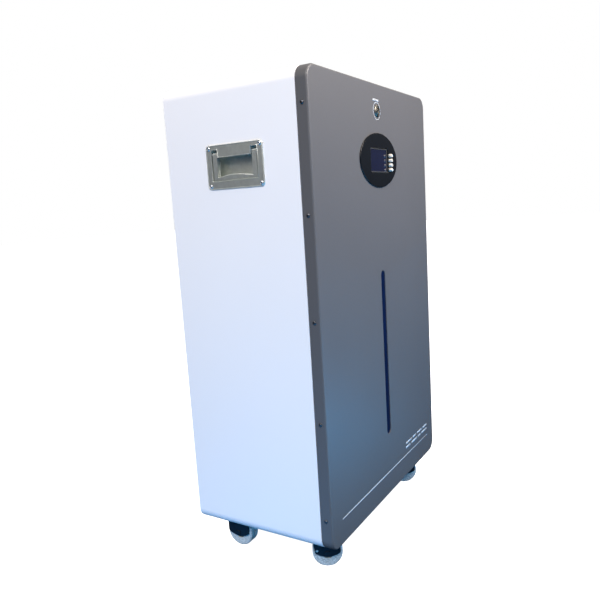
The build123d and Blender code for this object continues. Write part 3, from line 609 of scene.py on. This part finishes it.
# ---- screws and rivets
def cross_head(radius, height, spokes=24, rings=7):
    """A domed head standing on z = 0, with a cross recess pressed into its top and a short shank below."""
    dome_fall, recess_reach, recess_half, recess_depth = 0.62, 0.62, 0.13, 0.5
    tip_height, shank_share, shank_length = 0.45, 0.52, 1.4
    bm = bmesh.new()
    top = bm.verts.new((0, 0, height * tip_height))
    previous = None
    for ring in range(1, rings + 1):
        share = ring / rings
        verts = []
        for spoke in range(spokes):
            angle = 2 * math.pi * spoke / spokes
            x, y = radius * share * math.cos(angle), radius * share * math.sin(angle)
            z = height * math.sqrt(max(0.0, 1 - dome_fall * share ** 4))
            if share < recess_reach and min(abs(x), abs(y)) < radius * recess_half:
                z -= height * recess_depth
            verts.append(bm.verts.new((x, y, z)))
        if previous is None:
            for spoke in range(spokes):
                bm.faces.new((top, verts[spoke], verts[(spoke + 1) % spokes]))
        else:
            join_loops(bm, previous, verts)
        previous = verts
    foot = [bm.verts.new((vert.co.x, vert.co.y, 0)) for vert in previous]
    shank = [bm.verts.new((vert.co.x * shank_share, vert.co.y * shank_share, 0)) for vert in foot]
    tip = [bm.verts.new((vert.co.x, vert.co.y, -radius * shank_length)) for vert in shank]
    for first, second in ((previous, foot), (foot, shank), (shank, tip)):
        join_loops(bm, first, second)
    bm.faces.new(tip)
    return mesh_from(bm, "head")


def blind_rivet_head():
    """Domed rivet head with the dimple its mandrel leaves."""
    profile = profile_mm(((0, 0.15), (1.0, 0.2), (1.3, 1.0), (1.7, 1.2), (2.4, 1.0), (3.0, 0.5), (3.2, 0),
                          (2.0, 0), (2.0, -2.6), (0, -2.6)))
    return mesh_from(turned(profile, (0, 0, 0), Z, 24), "rivet")


def scatter_tree(name, template, material):
    """Nodes that stand a head on every point, along the point's facing, each turned by its own angle."""
    tree = bpy.data.node_groups.new(name, "GeometryNodeTree")
    tree.interface.new_socket("Places", in_out="INPUT", socket_type="NodeSocketGeometry")
    scale = tree.interface.new_socket("Head scale", in_out="INPUT", socket_type="NodeSocketFloat")
    scale.default_value = 1.0
    seed = tree.interface.new_socket("Turn seed", in_out="INPUT", socket_type="NodeSocketInt")
    seed.default_value = 7
    tree.interface.new_socket("Heads", in_out="OUTPUT", socket_type="NodeSocketGeometry")
    start = add_node(tree, "NodeGroupInput").outputs
    facing = add_node(tree, "GeometryNodeInputNamedAttribute", {"Name": "facing"}, data_type="FLOAT_VECTOR")
    align = add_node(tree, "FunctionNodeAlignRotationToVector", {"Vector": facing.outputs["Attribute"]},
                     axis="Z")
    source = add_node(tree, "GeometryNodeObjectInfo", {"Object": template})
    instance = add_node(tree, "GeometryNodeInstanceOnPoints", {
        "Points": start["Places"], "Instance": source.outputs["Geometry"],
        "Rotation": align.outputs["Rotation"], "Scale": start["Head scale"]})
    angle = add_node(tree, "FunctionNodeRandomValue", data_type="FLOAT")
    highest_input, float_output = 3, 1
    angle.inputs[highest_input].default_value = math.pi
    wire(angle, {"Seed": start["Turn seed"]})
    turn = add_node(tree, "ShaderNodeCombineXYZ", {"Z": angle.outputs[float_output]})
    rotate = add_node(tree, "GeometryNodeRotateInstances", {
        "Instances": instance.outputs["Instances"], "Rotation": turn.outputs["Vector"]})
    realize = add_node(tree, "GeometryNodeRealizeInstances", {"Geometry": rotate.outputs["Instances"]})
    paint = add_node(tree, "GeometryNodeSetMaterial", {"Geometry": realize.outputs["Geometry"],
                                                       "Material": material})
    add_node(tree, "NodeGroupOutput", {"Heads": paint.outputs["Geometry"]})
    return tree


def scatter(name, places, head, material, node):
    """Stand one head at every (point, direction) and keep the result as one plain mesh."""
    template = bpy.data.objects.new(f"{name}_template", head)
    bpy.context.scene.collection.objects.link(template)
    points = bpy.data.meshes.new(f"{name}_places")
    points.from_pydata([tuple(place) for place, _ in places], [], [])
    facing = points.attributes.new("facing", "FLOAT_VECTOR", "POINT")
    for index, (_, direction) in enumerate(places):
        facing.data[index].vector = direction
    holder = bpy.data.objects.new(f"{name}_holder", points)
    bpy.context.scene.collection.objects.link(holder)
    modifier = holder.modifiers.new("heads", "NODES")
    modifier.node_group = scatter_tree(name, template, material)
    depsgraph = bpy.context.evaluated_depsgraph_get()
    mesh = bpy.data.meshes.new_from_object(holder.evaluated_get(depsgraph))
    mesh.name = name
    holder.modifiers.remove(modifier)
    bpy.data.objects.remove(holder)
    bpy.data.objects.remove(template)
    return piece(name, mesh, material, CABINET, node, sharp=50)


def solid_middles(node):
    """Middle of the box of every separate solid in a frame part."""
    bm = bmesh.new()
    bm.from_mesh(frame["nodes"][node].data)
    bmesh.ops.remove_doubles(bm, verts=bm.verts, dist=2e-6)
    seen, middles = set(), []
    for start in bm.verts:
        if start in seen:
            continue
        stack, group = [start], []
        seen.add(start)
        while stack:
            vert = stack.pop()
            group.append(vert.co.copy())
            for edge in vert.link_edges:
                other = edge.other_vert(vert)
                if other not in seen:
                    seen.add(other)
                    stack.append(other)
        middles.append([(min(co[i] for co in group) + max(co[i] for co in group)) / 2 for i in range(3)])
    bm.free()
    return middles


def beside(node, face):
    """Places on the left and right outer faces, level with each solid of a part, and where they look."""
    places = []
    for x, y, z in solid_middles(node):
        side = 1 if x > 0 else -1
        places.append((Vector((side * face, y, z)), X * side))
    return places


def build_screws():
    """Cover screws, rear screws, handle rivets and caster screws."""
    case_screw, caster_screw = (2.8 * MM, 1.8 * MM), (5.5 * MM, 2.4 * MM)
    scatter("cover_screw_heads", beside("cover_screws", cover_high.x), cross_head(*case_screw),
            surface("dark_screw"), "cover_screws")
    zinc = surface("zinc_plate")
    rear = [(Vector((x, sleeve_high.y, z)), Y) for x, _, z in solid_middles("rear_screws")]
    scatter("rear_screw_heads", rear, cross_head(*case_screw), zinc, "rear_screws")
    plate_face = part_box("handle_dish_right")[1].x
    scatter("handle_rivet_heads", beside("handle_rivets", plate_face), blind_rivet_head(), zinc,
            "handle_rivets")
    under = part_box("caster_plates")[0].z
    casters = [(Vector((x, y, under)), -Z) for x, y, _ in solid_middles("caster_screws")]
    scatter("caster_screw_heads", casters, cross_head(*caster_screw), zinc, "caster_screws")


# ---- display
def menu_centres():
    """X and z of the menu buttons."""
    middles = [middle_of(f"menu_button_{number}") for number in range(1, 5)]
    return [(x, z) for x, _, z in middles]


def build_display():
    """Black oval, screen and bezel, and the four button caps."""
    half_x = (panel_high.x - panel_low.x) / 2
    half_z = (panel_high.z - panel_low.z) / 2
    z = middle_of("display_panel")[2]
    lcd_low, lcd_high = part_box("lcd_module")
    gap, button_hole = 0.3 * MM, 3.2 * MM
    window = (lcd_high.x + gap, (lcd_high.z - lcd_low.z) / 2 + gap)
    holes = [(rounded_outline(*window, 2 * MM, 5), 0, z)]
    holes += [(oval_outline(button_hole, button_hole, 24), x, cz) for x, cz in menu_centres()]
    flat_plate("display_oval", (oval_outline(half_x, half_z), 0, z), holes, panel_low.y, panel_high.y,
               surface("gloss_acrylic"), 0.7 * MM, "display_panel")

    view = (31.5 * MM, 17.75 * MM)
    bezel_back, glass_front = lcd_low.y + 1.6 * MM, lcd_low.y + 0.9 * MM
    rim = (rounded_outline(window[0] - gap, window[1] - gap, 1.5 * MM, 4), 0, z)
    flat_plate("screen_bezel", rim, [(rounded_outline(*view, 0.8 * MM, 3), 0, z)], lcd_low.y, bezel_back,
               surface("black_plastic"), 0.4 * MM)
    flat_plate("screen_glass", rim, [], glass_front, lcd_high.y, surface("screen_glass"), 0.3 * MM,
               "lcd_module")

    cap_face = ((0, 0.35), (1.2, 0.3), (1.9, 0.12), (2.3, 0), (2.65, 0.12), (2.9, 0.5))
    cap_flange = ((2.9, 0), (3.5, 0.1), (3.5, 1.3), (1.5, 1.3))
    stem = 1.5 * MM
    for number, (x, cz) in enumerate(menu_centres(), start=1):
        low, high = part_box(f"menu_button_{number}")
        profile = profile_mm(cap_face, along=low.y) + profile_mm(cap_flange, along=cover_low.y)
        profile += [(stem, high.y), (0, high.y)]
        piece(f"menu_cap_{number}", turned(profile, (x, 0, cz), Y, 32), surface("silver_plastic"),
              f"menu_{number}", f"menu_button_{number}")


def build_power_button():
    """Power button: turned bezel with its threaded barrel, the moving cap and the nut."""
    low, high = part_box("power_button_body")
    centre = (0, 0, button_centre())
    outer, barrel, bore = high.x, 8.0 * MM, 6.5 * MM
    front, back = low.y, high.y
    bore_back = front + 9.0 * MM
    profile = [(bore, bore_back)] + profile_mm(((0, 0.5), (0.4, 0.1), (1.1, 0)), bore, front)
    profile += profile_mm(((-1.2, 0.25), (-0.4, 0.8), (0, 1.5)), outer, front)
    profile += [(outer, cover_low.y), (barrel, cover_low.y)]
    pitch, groove, y = 1.0 * MM, 0.35 * MM, cover_low.y + 4.0 * MM
    while y < back - pitch:
        profile += [(barrel, y), (barrel - groove, y + pitch / 2)]
        y += pitch
    profile += [(barrel - 0.3 * MM, back), (0, back), (0, bore_back)]
    steel = surface("polished_steel")
    piece("power_bezel", turned(profile, centre, Y, 64, closed=True), steel, node="power_button_body")

    cap_low, cap_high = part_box("power_button_cap")
    radius, top = cap_high.x, cap_low.y
    profile = profile_mm(((0, 0.45), (2.0, 0.4), (4.2, 0.15), (4.6, 0)), along=top)
    profile += profile_mm(((-0.5, 0), (0, 0.5)), radius, top) + [(radius, cap_high.y), (0, cap_high.y)]
    piece("power_cap", turned(profile, centre, Y, 64), steel, "power_button", "power_button_cap")
    refined("power_nut", "power_button_nut", bevel=0.3 * MM)


def build_light_window():
    """Smoked window in the tall slot, crowned a little along its middle."""
    low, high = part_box("light_window")
    z, length, width = light_slot()
    gap, flange_y = 0.1 * MM, cover_low.y + sizes().sheet
    loops = []
    crown = ((5.5, -0.25), (3.5, -0.2), (1.5, -0.1), (0.5, 0.05), (0.0, 0.5))
    for inset, lift in crown:
        shrink = 2 * inset * MM + 2 * gap
        outline = slot_outline(length - shrink, width - shrink)
        loops.append(placed(outline, 0, z, low.y + lift * MM))
    body = slot_outline(length - 2 * gap, width - 2 * gap)
    rim = slot_outline(high.z - low.z, high.x - low.x)
    loops += [placed(body, 0, z, flange_y), placed(rim, 0, z, flange_y), placed(rim, 0, z, high.y)]
    piece("light_lens", loft(loops, caps=True), surface("smoked_acrylic"), node="light_window")


# ---- printed marks
def ink(name, shapes, y=None, facing=-1, material="printed_ink"):
    """Thin printed shapes on the cover, or on the rear when facing is 1."""
    off = facing * 0.01 * MM
    face = (cover_low.y if y is None else y) + off
    bm = bmesh.new()
    for points in shapes:
        bm.faces.new([bm.verts.new((x, face, z)) for x, z in points])
    obj = piece(name, facing_mesh(bm, name, facing), surface(material))
    thicken(obj, sizes().ink, 1.0, even=False)


def bar(x0, x1, z0, z1):
    """A plain rectangle."""
    return [(x0, z0), (x1, z0), (x1, z1), (x0, z1)]


def ring_strip(x, z, radius, width, steps=72):
    """Short rectangles that follow a circle."""
    strips = []
    inner, outer = radius - width / 2, radius + width / 2
    for step in range(steps):
        a, b = math.radians(360 * step / steps), math.radians(360 * (step + 1) / steps)
        corners = ((inner, a), (outer, a), (outer, b), (inner, b))
        strips.append([(x + reach * math.cos(turn), z + reach * math.sin(turn)) for reach, turn in corners])
    return strips


def build_marks():
    """Ring and short bars at the power button, button marks, the long line and plain bars."""
    z = button_centre()
    shapes = ring_strip(0, z, sizes().ring_radius, 0.9 * MM)
    wide, tall, pitch, start, lift = 3.2 * MM, 3.6 * MM, 4.6 * MM, -14.0 * MM, 15.2 * MM
    for place in range(5):
        left = start + pitch * place
        shapes.append(bar(left, left + wide, z + lift, z + lift + tall))
    ink("power_ring_print", shapes)

    near, far, half = 10 * MM, 15 * MM, 0.6 * MM
    ink("menu_marks", [bar(x + near, x + far, cz - half, cz + half) for x, cz in menu_centres()], y=panel_low.y)

    foot = cover_low.z
    line, reach, half = foot + sizes().line_height, 190 * MM, 1.0 * MM
    ink("foot_line", [bar(-reach, reach, line - half, line + half)])
    dashes = []
    start, top_row, row_pitch, gap, tall = 76.0, 61.5, 8.5, 5.5, 4.0 * MM
    for row, widths in enumerate(((30, 18, 26, 22), (22, 30, 14, 30))):
        x, base = start, foot + (top_row - row_pitch * row) * MM
        for width in widths:
            dashes.append(bar(x * MM, (x + width) * MM, base, base + tall))
            x += width + gap
    ink("rating_bars", dashes)


def build_rear_marks():
    """Plus, minus and earth signs beside the rear studs."""
    above_stud, inside_stud = 21 * MM, 7 * MM
    z = middle_of("terminal_studs")[2] + above_stud
    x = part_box("terminal_studs")[1].x - inside_stud
    long, thin = 4.5 * MM, 0.9 * MM
    shapes = [bar(x - long, x + long, z - thin, z + thin), bar(x - thin, x + thin, z + thin, z + long),
              bar(x - thin, x + thin, z - long, z - thin), bar(-x - long, -x + long, z - thin, z + thin)]
    gx, half, pitch = middle_of("ground_stud")[0], 0.5 * MM, 2.4 * MM
    for row, reach in enumerate((4.5, 3.0, 1.5)):
        base = z - row * pitch
        shapes.append(bar(gx - reach * MM, gx + reach * MM, base - half, base + half))
    shapes.append(bar(gx - half, gx + half, z + half, z + long))
    ink("rear_signs", shapes, sleeve_high.y, 1, "dark_screw")


# ---- handles
def bead(name, points, radius, material):
    """A round bead of metal along a closed line of points on the handle plate."""
    curve = bpy.data.curves.new(name, "CURVE")
    curve.dimensions = "3D"
    curve.bevel_depth = radius
    curve.bevel_resolution = 3
    spline = curve.splines.new("POLY")
    spline.points.add(len(points) - 1)
    for target, point in zip(spline.points, points):
        target.co = (*point, 1.0)
    spline.use_cyclic_u = True
    holder = bpy.data.objects.new(name, curve)
    bpy.context.scene.collection.objects.link(holder)
    mesh = bpy.data.meshes.new_from_object(holder)
    bpy.data.objects.remove(holder)
    piece(name, mesh, material)


def handle_rims(side, sign):
    """Rolled outer border of a handle plate and the rolled lip round its opening."""
    low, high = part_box(f"handle_dish_{side}")
    _, y, z = middle_of(f"handle_dish_{side}")
    steel = surface("satin_steel")
    face = (high.x if sign > 0 else -low.x) - 0.45 * MM
    sunk, inset, thick, corner = 0.3 * MM, 1.25 * MM, 1.1 * MM, 6 * MM
    border = rounded_outline((high.y - low.y) / 2 - inset, (high.z - low.z) / 2 - inset, corner - inset, 6)
    bead(f"handle_border_{side}", [(sign * (face - sunk), y + py, z + pz) for py, pz in border], thick, steel)
    lip, thin = 0.75 * MM, 0.7 * MM
    outer, inner = 41.5 * MM + lip, 31.0 * MM - lip
    foot, flap, top = low.z + 12.8 * MM - lip, low.z + 47.0 * MM + lip, low.z + 58.4 * MM + lip
    line = [(-outer, foot), (outer, foot), (outer, top), (inner, top), (inner, flap), (-inner, flap),
            (-inner, top), (-outer, top)]
    bead(f"handle_lip_{side}", [(sign * face, y + py, pz) for py, pz in line], thin, steel)


def build_handles():
    """Both drop handles with rolled edges."""
    for side, sign in SIDES:
        refined(f"handle_plate_{side}", f"handle_dish_{side}", bevel=0.45 * MM)
        refined(f"handle_grip_{side}", f"handle_bail_{side}", bevel=1.1 * MM)
        handle_rims(side, sign)
    refined("handle_pivot_pins", "handle_pins", bevel=0.2 * MM)


# ---- casters
def joint_value(name, key):
    """One value of a joint in the frame, as a vector."""
    return Vector(next(joint[key] for joint in frame["joints"] if joint["name"] == name))


def fork_rivets(corner, centre, axis):
    """Bright rivet on the outer face of each leg of a front fork, behind the wheel."""
    pivot = joint_value(f"swivel_{corner}", "pos_m")
    back = Vector((pivot.x - centre.x, pivot.y - centre.y, 0)).normalized()
    across = axis.normalized()
    behind, outside, height = 17.5 * MM, 14.8 * MM, 30 * MM
    profile = profile_mm(((0, 1.0), (1.1, 0.9), (1.9, 0.5), (2.2, 0), (2.2, -0.4), (0, -0.4)))
    for name, sign in SIDES:
        place = centre + back * behind + across * (sign * outside)
        place.z = height
        piece(f"fork_rivet_{corner}_{name}", turned(profile, place, across * sign, 24), surface("zinc_plate"),
              f"swivel_{corner}")


def tread_profile(radius):
    """Section of a tread: rounded shoulders and a shallow groove along the middle."""
    half, inner = sizes().tread_width / 2, radius - sizes().tread_depth
    shoulder, steps, groove = 3.0 * MM, 6, 0.35 * MM
    groove_top, groove_foot = half * 0.28, half * 0.22
    rises = [math.radians(90 * step / steps) for step in range(steps + 1)]
    turns = [(-1, rise) for rise in rises] + [(1, math.pi / 2 - rise) for rise in rises]
    curve = [(radius - shoulder + shoulder * math.sin(turn),
              sign * (half - shoulder + shoulder * math.cos(turn))) for sign, turn in turns]
    middle = [(radius, -groove_top), (radius - groove, -groove_foot), (radius - groove, groove_foot),
              (radius, groove_top)]
    return [(inner, -half)] + curve[:steps + 1] + middle + curve[steps + 1:] + [(inner, half)]


def build_casters():
    """Treads, hubs, forks, axles and the fixed plates."""
    for corner in CORNERS:
        low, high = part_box(f"tread_{corner}")
        centre = (low + high) / 2
        axis = joint_value(f"roll_{corner}", "axis")
        wheel = turned(tread_profile((high.z - low.z) / 2), centre, axis, 72, closed=True)
        piece(f"caster_tread_{corner}", wheel, surface("tread_rubber"), f"wheel_{corner}", f"tread_{corner}")
        for part, bevel in (("hub", 0.4), ("fork", 0.5), ("axle", 0.2)):
            refined(f"caster_{part}_{corner}", f"{part}_{corner}", bevel=bevel * MM)
        if corner.startswith("front"):
            fork_rivets(corner, centre, axis)
    refined("caster_top_plates", "caster_plates", bevel=0.4 * MM)


# ---- rear
def build_rear():
    """Rear panel, studs, insulators, sockets and breaker."""
    refined("case_rear_panel", "rear_panel", bevel=0.3 * MM)
    for name, plastic, sign in (("positive", "red_plastic", 1), ("negative", "black_plastic", -1)):
        refined(f"insulator_{name}", "terminal_insulators", surface(plastic), 0.5 * MM,
                lambda co, sign=sign: co.x * sign > 0)
    for name, node, bevel in (("socket_row", "comm_sockets", 0.3), ("breaker_case", "breaker_body", 0.6),
                              ("breaker_lever", "breaker_toggle", 0.5), ("earth_stud", "ground_stud", 0.2),
                              ("power_studs", "terminal_studs", 0.4)):
        refined(name, node, bevel=bevel * MM)


def finish_frame_parts():
    """Give every frame part that still shows the finish of its slot."""
    for node, obj in frame["nodes"].items():
        obj.data.materials.clear()
        obj.data.materials.append(surface_of(node))


# ---- stage
# Name, place, aim, width, height, watts and colour of each soft light.
LIGHTS = (
    ("side_left", (-2.4, -0.3, 2.2), (0, 0, 0.42), 1.3, 1.3, 77, (1.0, 0.95, 0.93)),
    ("front_high", (0.1, -0.85, 1.18), (0, -0.14, 0.78), 0.8, 0.35, 23.5, (1.0, 0.90, 0.82)),
    ("low_left", (-0.80, 0.0, 0.02), (-0.48, 0.0, 1.0), 0.5, 0.9, 2.9, (0.0, 0.40, 1.0)),
    ("low_front", (0.0, -0.80, 0.02), (0.0, -0.55, 1.0), 1.2, 0.6, 14, (0.04, 0.46, 1.0)),
)


def add_light(name, place, target, width, height, power, colour):
    """A soft rectangular light aimed at a point."""
    data = bpy.data.lights.new(name, "AREA")
    data.shape = "RECTANGLE"
    data.size, data.size_y = width, height
    data.energy = power
    data.color = colour
    obj = bpy.data.objects.new(name, data)
    obj.location = place
    obj.rotation_euler = (Vector(target) - Vector(place)).to_track_quat("-Z", "Y").to_euler()
    obj.visible_camera = False
    bpy.context.scene.collection.objects.link(obj)


def build_world(scene):
    """White surroundings in view; softer, warmer above and cooler below where they only light the cabinet."""
    world = bpy.data.worlds.new("studio")
    world.use_nodes = True
    tree = world.node_tree
    coords = add_node(tree, "ShaderNodeTexCoord")
    parts = add_node(tree, "ShaderNodeSeparateXYZ", {"Vector": coords.outputs["Generated"]})
    height = add_node(tree, "ShaderNodeMapRange", {"From Min": -1.0, "Value": parts.outputs["Z"]})
    sky = add_node(tree, "ShaderNodeValToRGB", {"Fac": height.outputs["Result"]})
    stops = sky.color_ramp.elements
    stops[0].color, stops[1].color = (0.015, 0.04, 0.08, 1), (1.0, 0.96, 0.93, 1)
    for share, colour in ((0.5, (0.055, 0.065, 0.08, 1)), (0.8, (0.38, 0.37, 0.36, 1))):
        stops.new(share).color = colour
    background = tree.nodes["Background"]
    wire(background, {"Color": sky.outputs["Color"]})
    seen = add_node(tree, "ShaderNodeBackground", {"Color": (1.0, 1.0, 1.0, 1.0)})
    path = add_node(tree, "ShaderNodeLightPath")
    choose = add_node(tree, "ShaderNodeMixShader", {"Fac": path.outputs["Is Camera Ray"]})
    for index, shader in enumerate((background, seen), start=1):
        tree.links.new(shader.outputs["Background"], choose.inputs[index])
    wire(tree.nodes["World Output"], {"Surface": choose.outputs["Shader"]})
    scene.world = world


def build_stage():
    """Pale floor, soft lights and the camera."""
    scene = bpy.context.scene
    stage = scene.cabinet_stage
    bm = bmesh.new()
    reach = 14.0
    bm.faces.new([bm.verts.new(p) for p in ((-reach, -reach, 0), (reach, -reach, 0), (reach, reach, 0),
                                            (-reach, reach, 0))])
    mesh = bpy.data.meshes.new("floor")
    bm.to_mesh(mesh)
    bm.free()
    mesh.materials.append(floor_paint())
    floor = bpy.data.objects.new("floor", mesh)
    scene.collection.objects.link(floor)
    floor.visible_glossy = False
    floor.visible_diffuse = False

    build_world(scene)
    scene.view_settings.view_transform = "Standard"
    for light in LIGHTS:
        add_light(*light)

    camera_data = bpy.data.cameras.new("camera")
    camera_data.sensor_width = 36.0
    camera_data.lens = stage.lens
    camera = bpy.data.objects.new("camera", camera_data)
    case_middle_y = (cover_low.y + sleeve_high.y) / 2
    camera.location = (-stage.camera_left, case_middle_y - stage.camera_front,
                       cover_low.z + stage.camera_height)
    flat = math.cos(stage.elevation)
    look = Vector((math.sin(stage.azimuth) * flat, math.cos(stage.azimuth) * flat, -math.sin(stage.elevation)))
    turn = look.to_track_quat("-Z", "Y").to_matrix().to_4x4() @ Matrix.Rotation(stage.roll, 4, "Z")
    camera.rotation_euler = turn.to_euler()
    scene.collection.objects.link(camera)
    scene.camera = camera


# ---- operators
class CABINET_OT_case(bpy.types.Operator):
    """Build the sleeve and the front cover."""

    bl_idname = "cabinet.case"
    bl_label = "Case"

    def execute(self, context):
        build_sleeve()
        build_cover()
        return {"FINISHED"}


class CABINET_OT_screws(bpy.types.Operator):
    """Build every screw and rivet head."""

    bl_idname = "cabinet.screws"
    bl_label = "Screws and rivets"

    def execute(self, context):
        build_screws()
        return {"FINISHED"}


class CABINET_OT_display(bpy.types.Operator):
    """Build the oval panel, the screen and the menu buttons."""

    bl_idname = "cabinet.display"
    bl_label = "Display"

    def execute(self, context):
        build_display()
        return {"FINISHED"}


class CABINET_OT_power_button(bpy.types.Operator):
    """Build the power button."""

    bl_idname = "cabinet.power_button"
    bl_label = "Power button"

    def execute(self, context):
        build_power_button()
        return {"FINISHED"}


class CABINET_OT_light_window(bpy.types.Operator):
    """Build the tall smoked window."""

    bl_idname = "cabinet.light_window"
    bl_label = "Light window"

    def execute(self, context):
        build_light_window()
        return {"FINISHED"}


class CABINET_OT_marks(bpy.types.Operator):
    """Print the generic marks on the cover and the rear."""

    bl_idname = "cabinet.marks"
    bl_label = "Printed marks"

    def execute(self, context):
        build_marks()
        build_rear_marks()
        return {"FINISHED"}


class CABINET_OT_handles(bpy.types.Operator):
    """Build both drop handles."""

    bl_idname = "cabinet.handles"
    bl_label = "Drop handles"

    def execute(self, context):
        build_handles()
        return {"FINISHED"}


class CABINET_OT_casters(bpy.types.Operator):
    """Build the four casters."""

    bl_idname = "cabinet.casters"
    bl_label = "Casters"

    def execute(self, context):
        build_casters()
        return {"FINISHED"}


class CABINET_OT_rear(bpy.types.Operator):
    """Build the rear panel and its connections."""

    bl_idname = "cabinet.rear"
    bl_label = "Rear connections"

    def execute(self, context):
        build_rear()
        return {"FINISHED"}


class CABINET_OT_frame_parts(bpy.types.Operator):
    """Finish the frame parts that stay in view."""

    bl_idname = "cabinet.frame_parts"
    bl_label = "Frame parts"

    def execute(self, context):
        finish_frame_parts()
        return {"FINISHED"}


class CABINET_OT_stage(bpy.types.Operator):
    """Set the floor, the lights and the camera."""

    bl_idname = "cabinet.stage"
    bl_label = "Stage"

    def execute(self, context):
        build_stage()
        return {"FINISHED"}


STEPS = (CABINET_OT_stage, CABINET_OT_frame_parts, CABINET_OT_case, CABINET_OT_screws, CABINET_OT_display,
         CABINET_OT_power_button, CABINET_OT_light_window, CABINET_OT_marks, CABINET_OT_handles,
         CABINET_OT_casters, CABINET_OT_rear)


class CABINET_PT_panel(bpy.types.Panel):
    """Sidebar panel with the cabinet's settings and steps."""

    bl_idname = "CABINET_PT_panel"
    bl_label = "Battery cabinet"
    bl_space_type = "VIEW_3D"
    bl_region_type = "UI"
    bl_category = "Cabinet"

    def draw(self, context):
        for group in (context.scene.cabinet_colours, context.scene.cabinet_sizes, context.scene.cabinet_stage):
            for name in group.__annotations__:
                self.layout.prop(group, name)
        for step in STEPS:
            self.layout.operator(step.bl_idname)


GROUPS = (CabinetColours, CabinetSizes, CabinetStage)


def register():
    """Add the classes and the scene's settings."""
    for group in GROUPS:
        bpy.utils.register_class(group)
    bpy.types.Scene.cabinet_colours = PointerProperty(type=CabinetColours)
    bpy.types.Scene.cabinet_sizes = PointerProperty(type=CabinetSizes)
    bpy.types.Scene.cabinet_stage = PointerProperty(type=CabinetStage)
    for step in STEPS:
        bpy.utils.register_class(step)
    bpy.utils.register_class(CABINET_PT_panel)


def unregister():
    """Remove the classes and the settings."""
    bpy.utils.unregister_class(CABINET_PT_panel)
    for step in reversed(STEPS):
        bpy.utils.unregister_class(step)
    del bpy.types.Scene.cabinet_stage
    del bpy.types.Scene.cabinet_sizes
    del bpy.types.Scene.cabinet_colours
    for group in reversed(GROUPS):
        bpy.utils.unregister_class(group)


def main():
    """Build everything in order."""
    register()
    bpy.ops.cabinet.stage()
    bpy.ops.cabinet.frame_parts()
    bpy.ops.cabinet.case()
    bpy.ops.cabinet.screws()
    bpy.ops.cabinet.display()
    bpy.ops.cabinet.power_button()
    bpy.ops.cabinet.light_window()
    bpy.ops.cabinet.marks()
    bpy.ops.cabinet.handles()
    bpy.ops.cabinet.casters()
    bpy.ops.cabinet.rear()


if __name__ == "__main__":
    main()
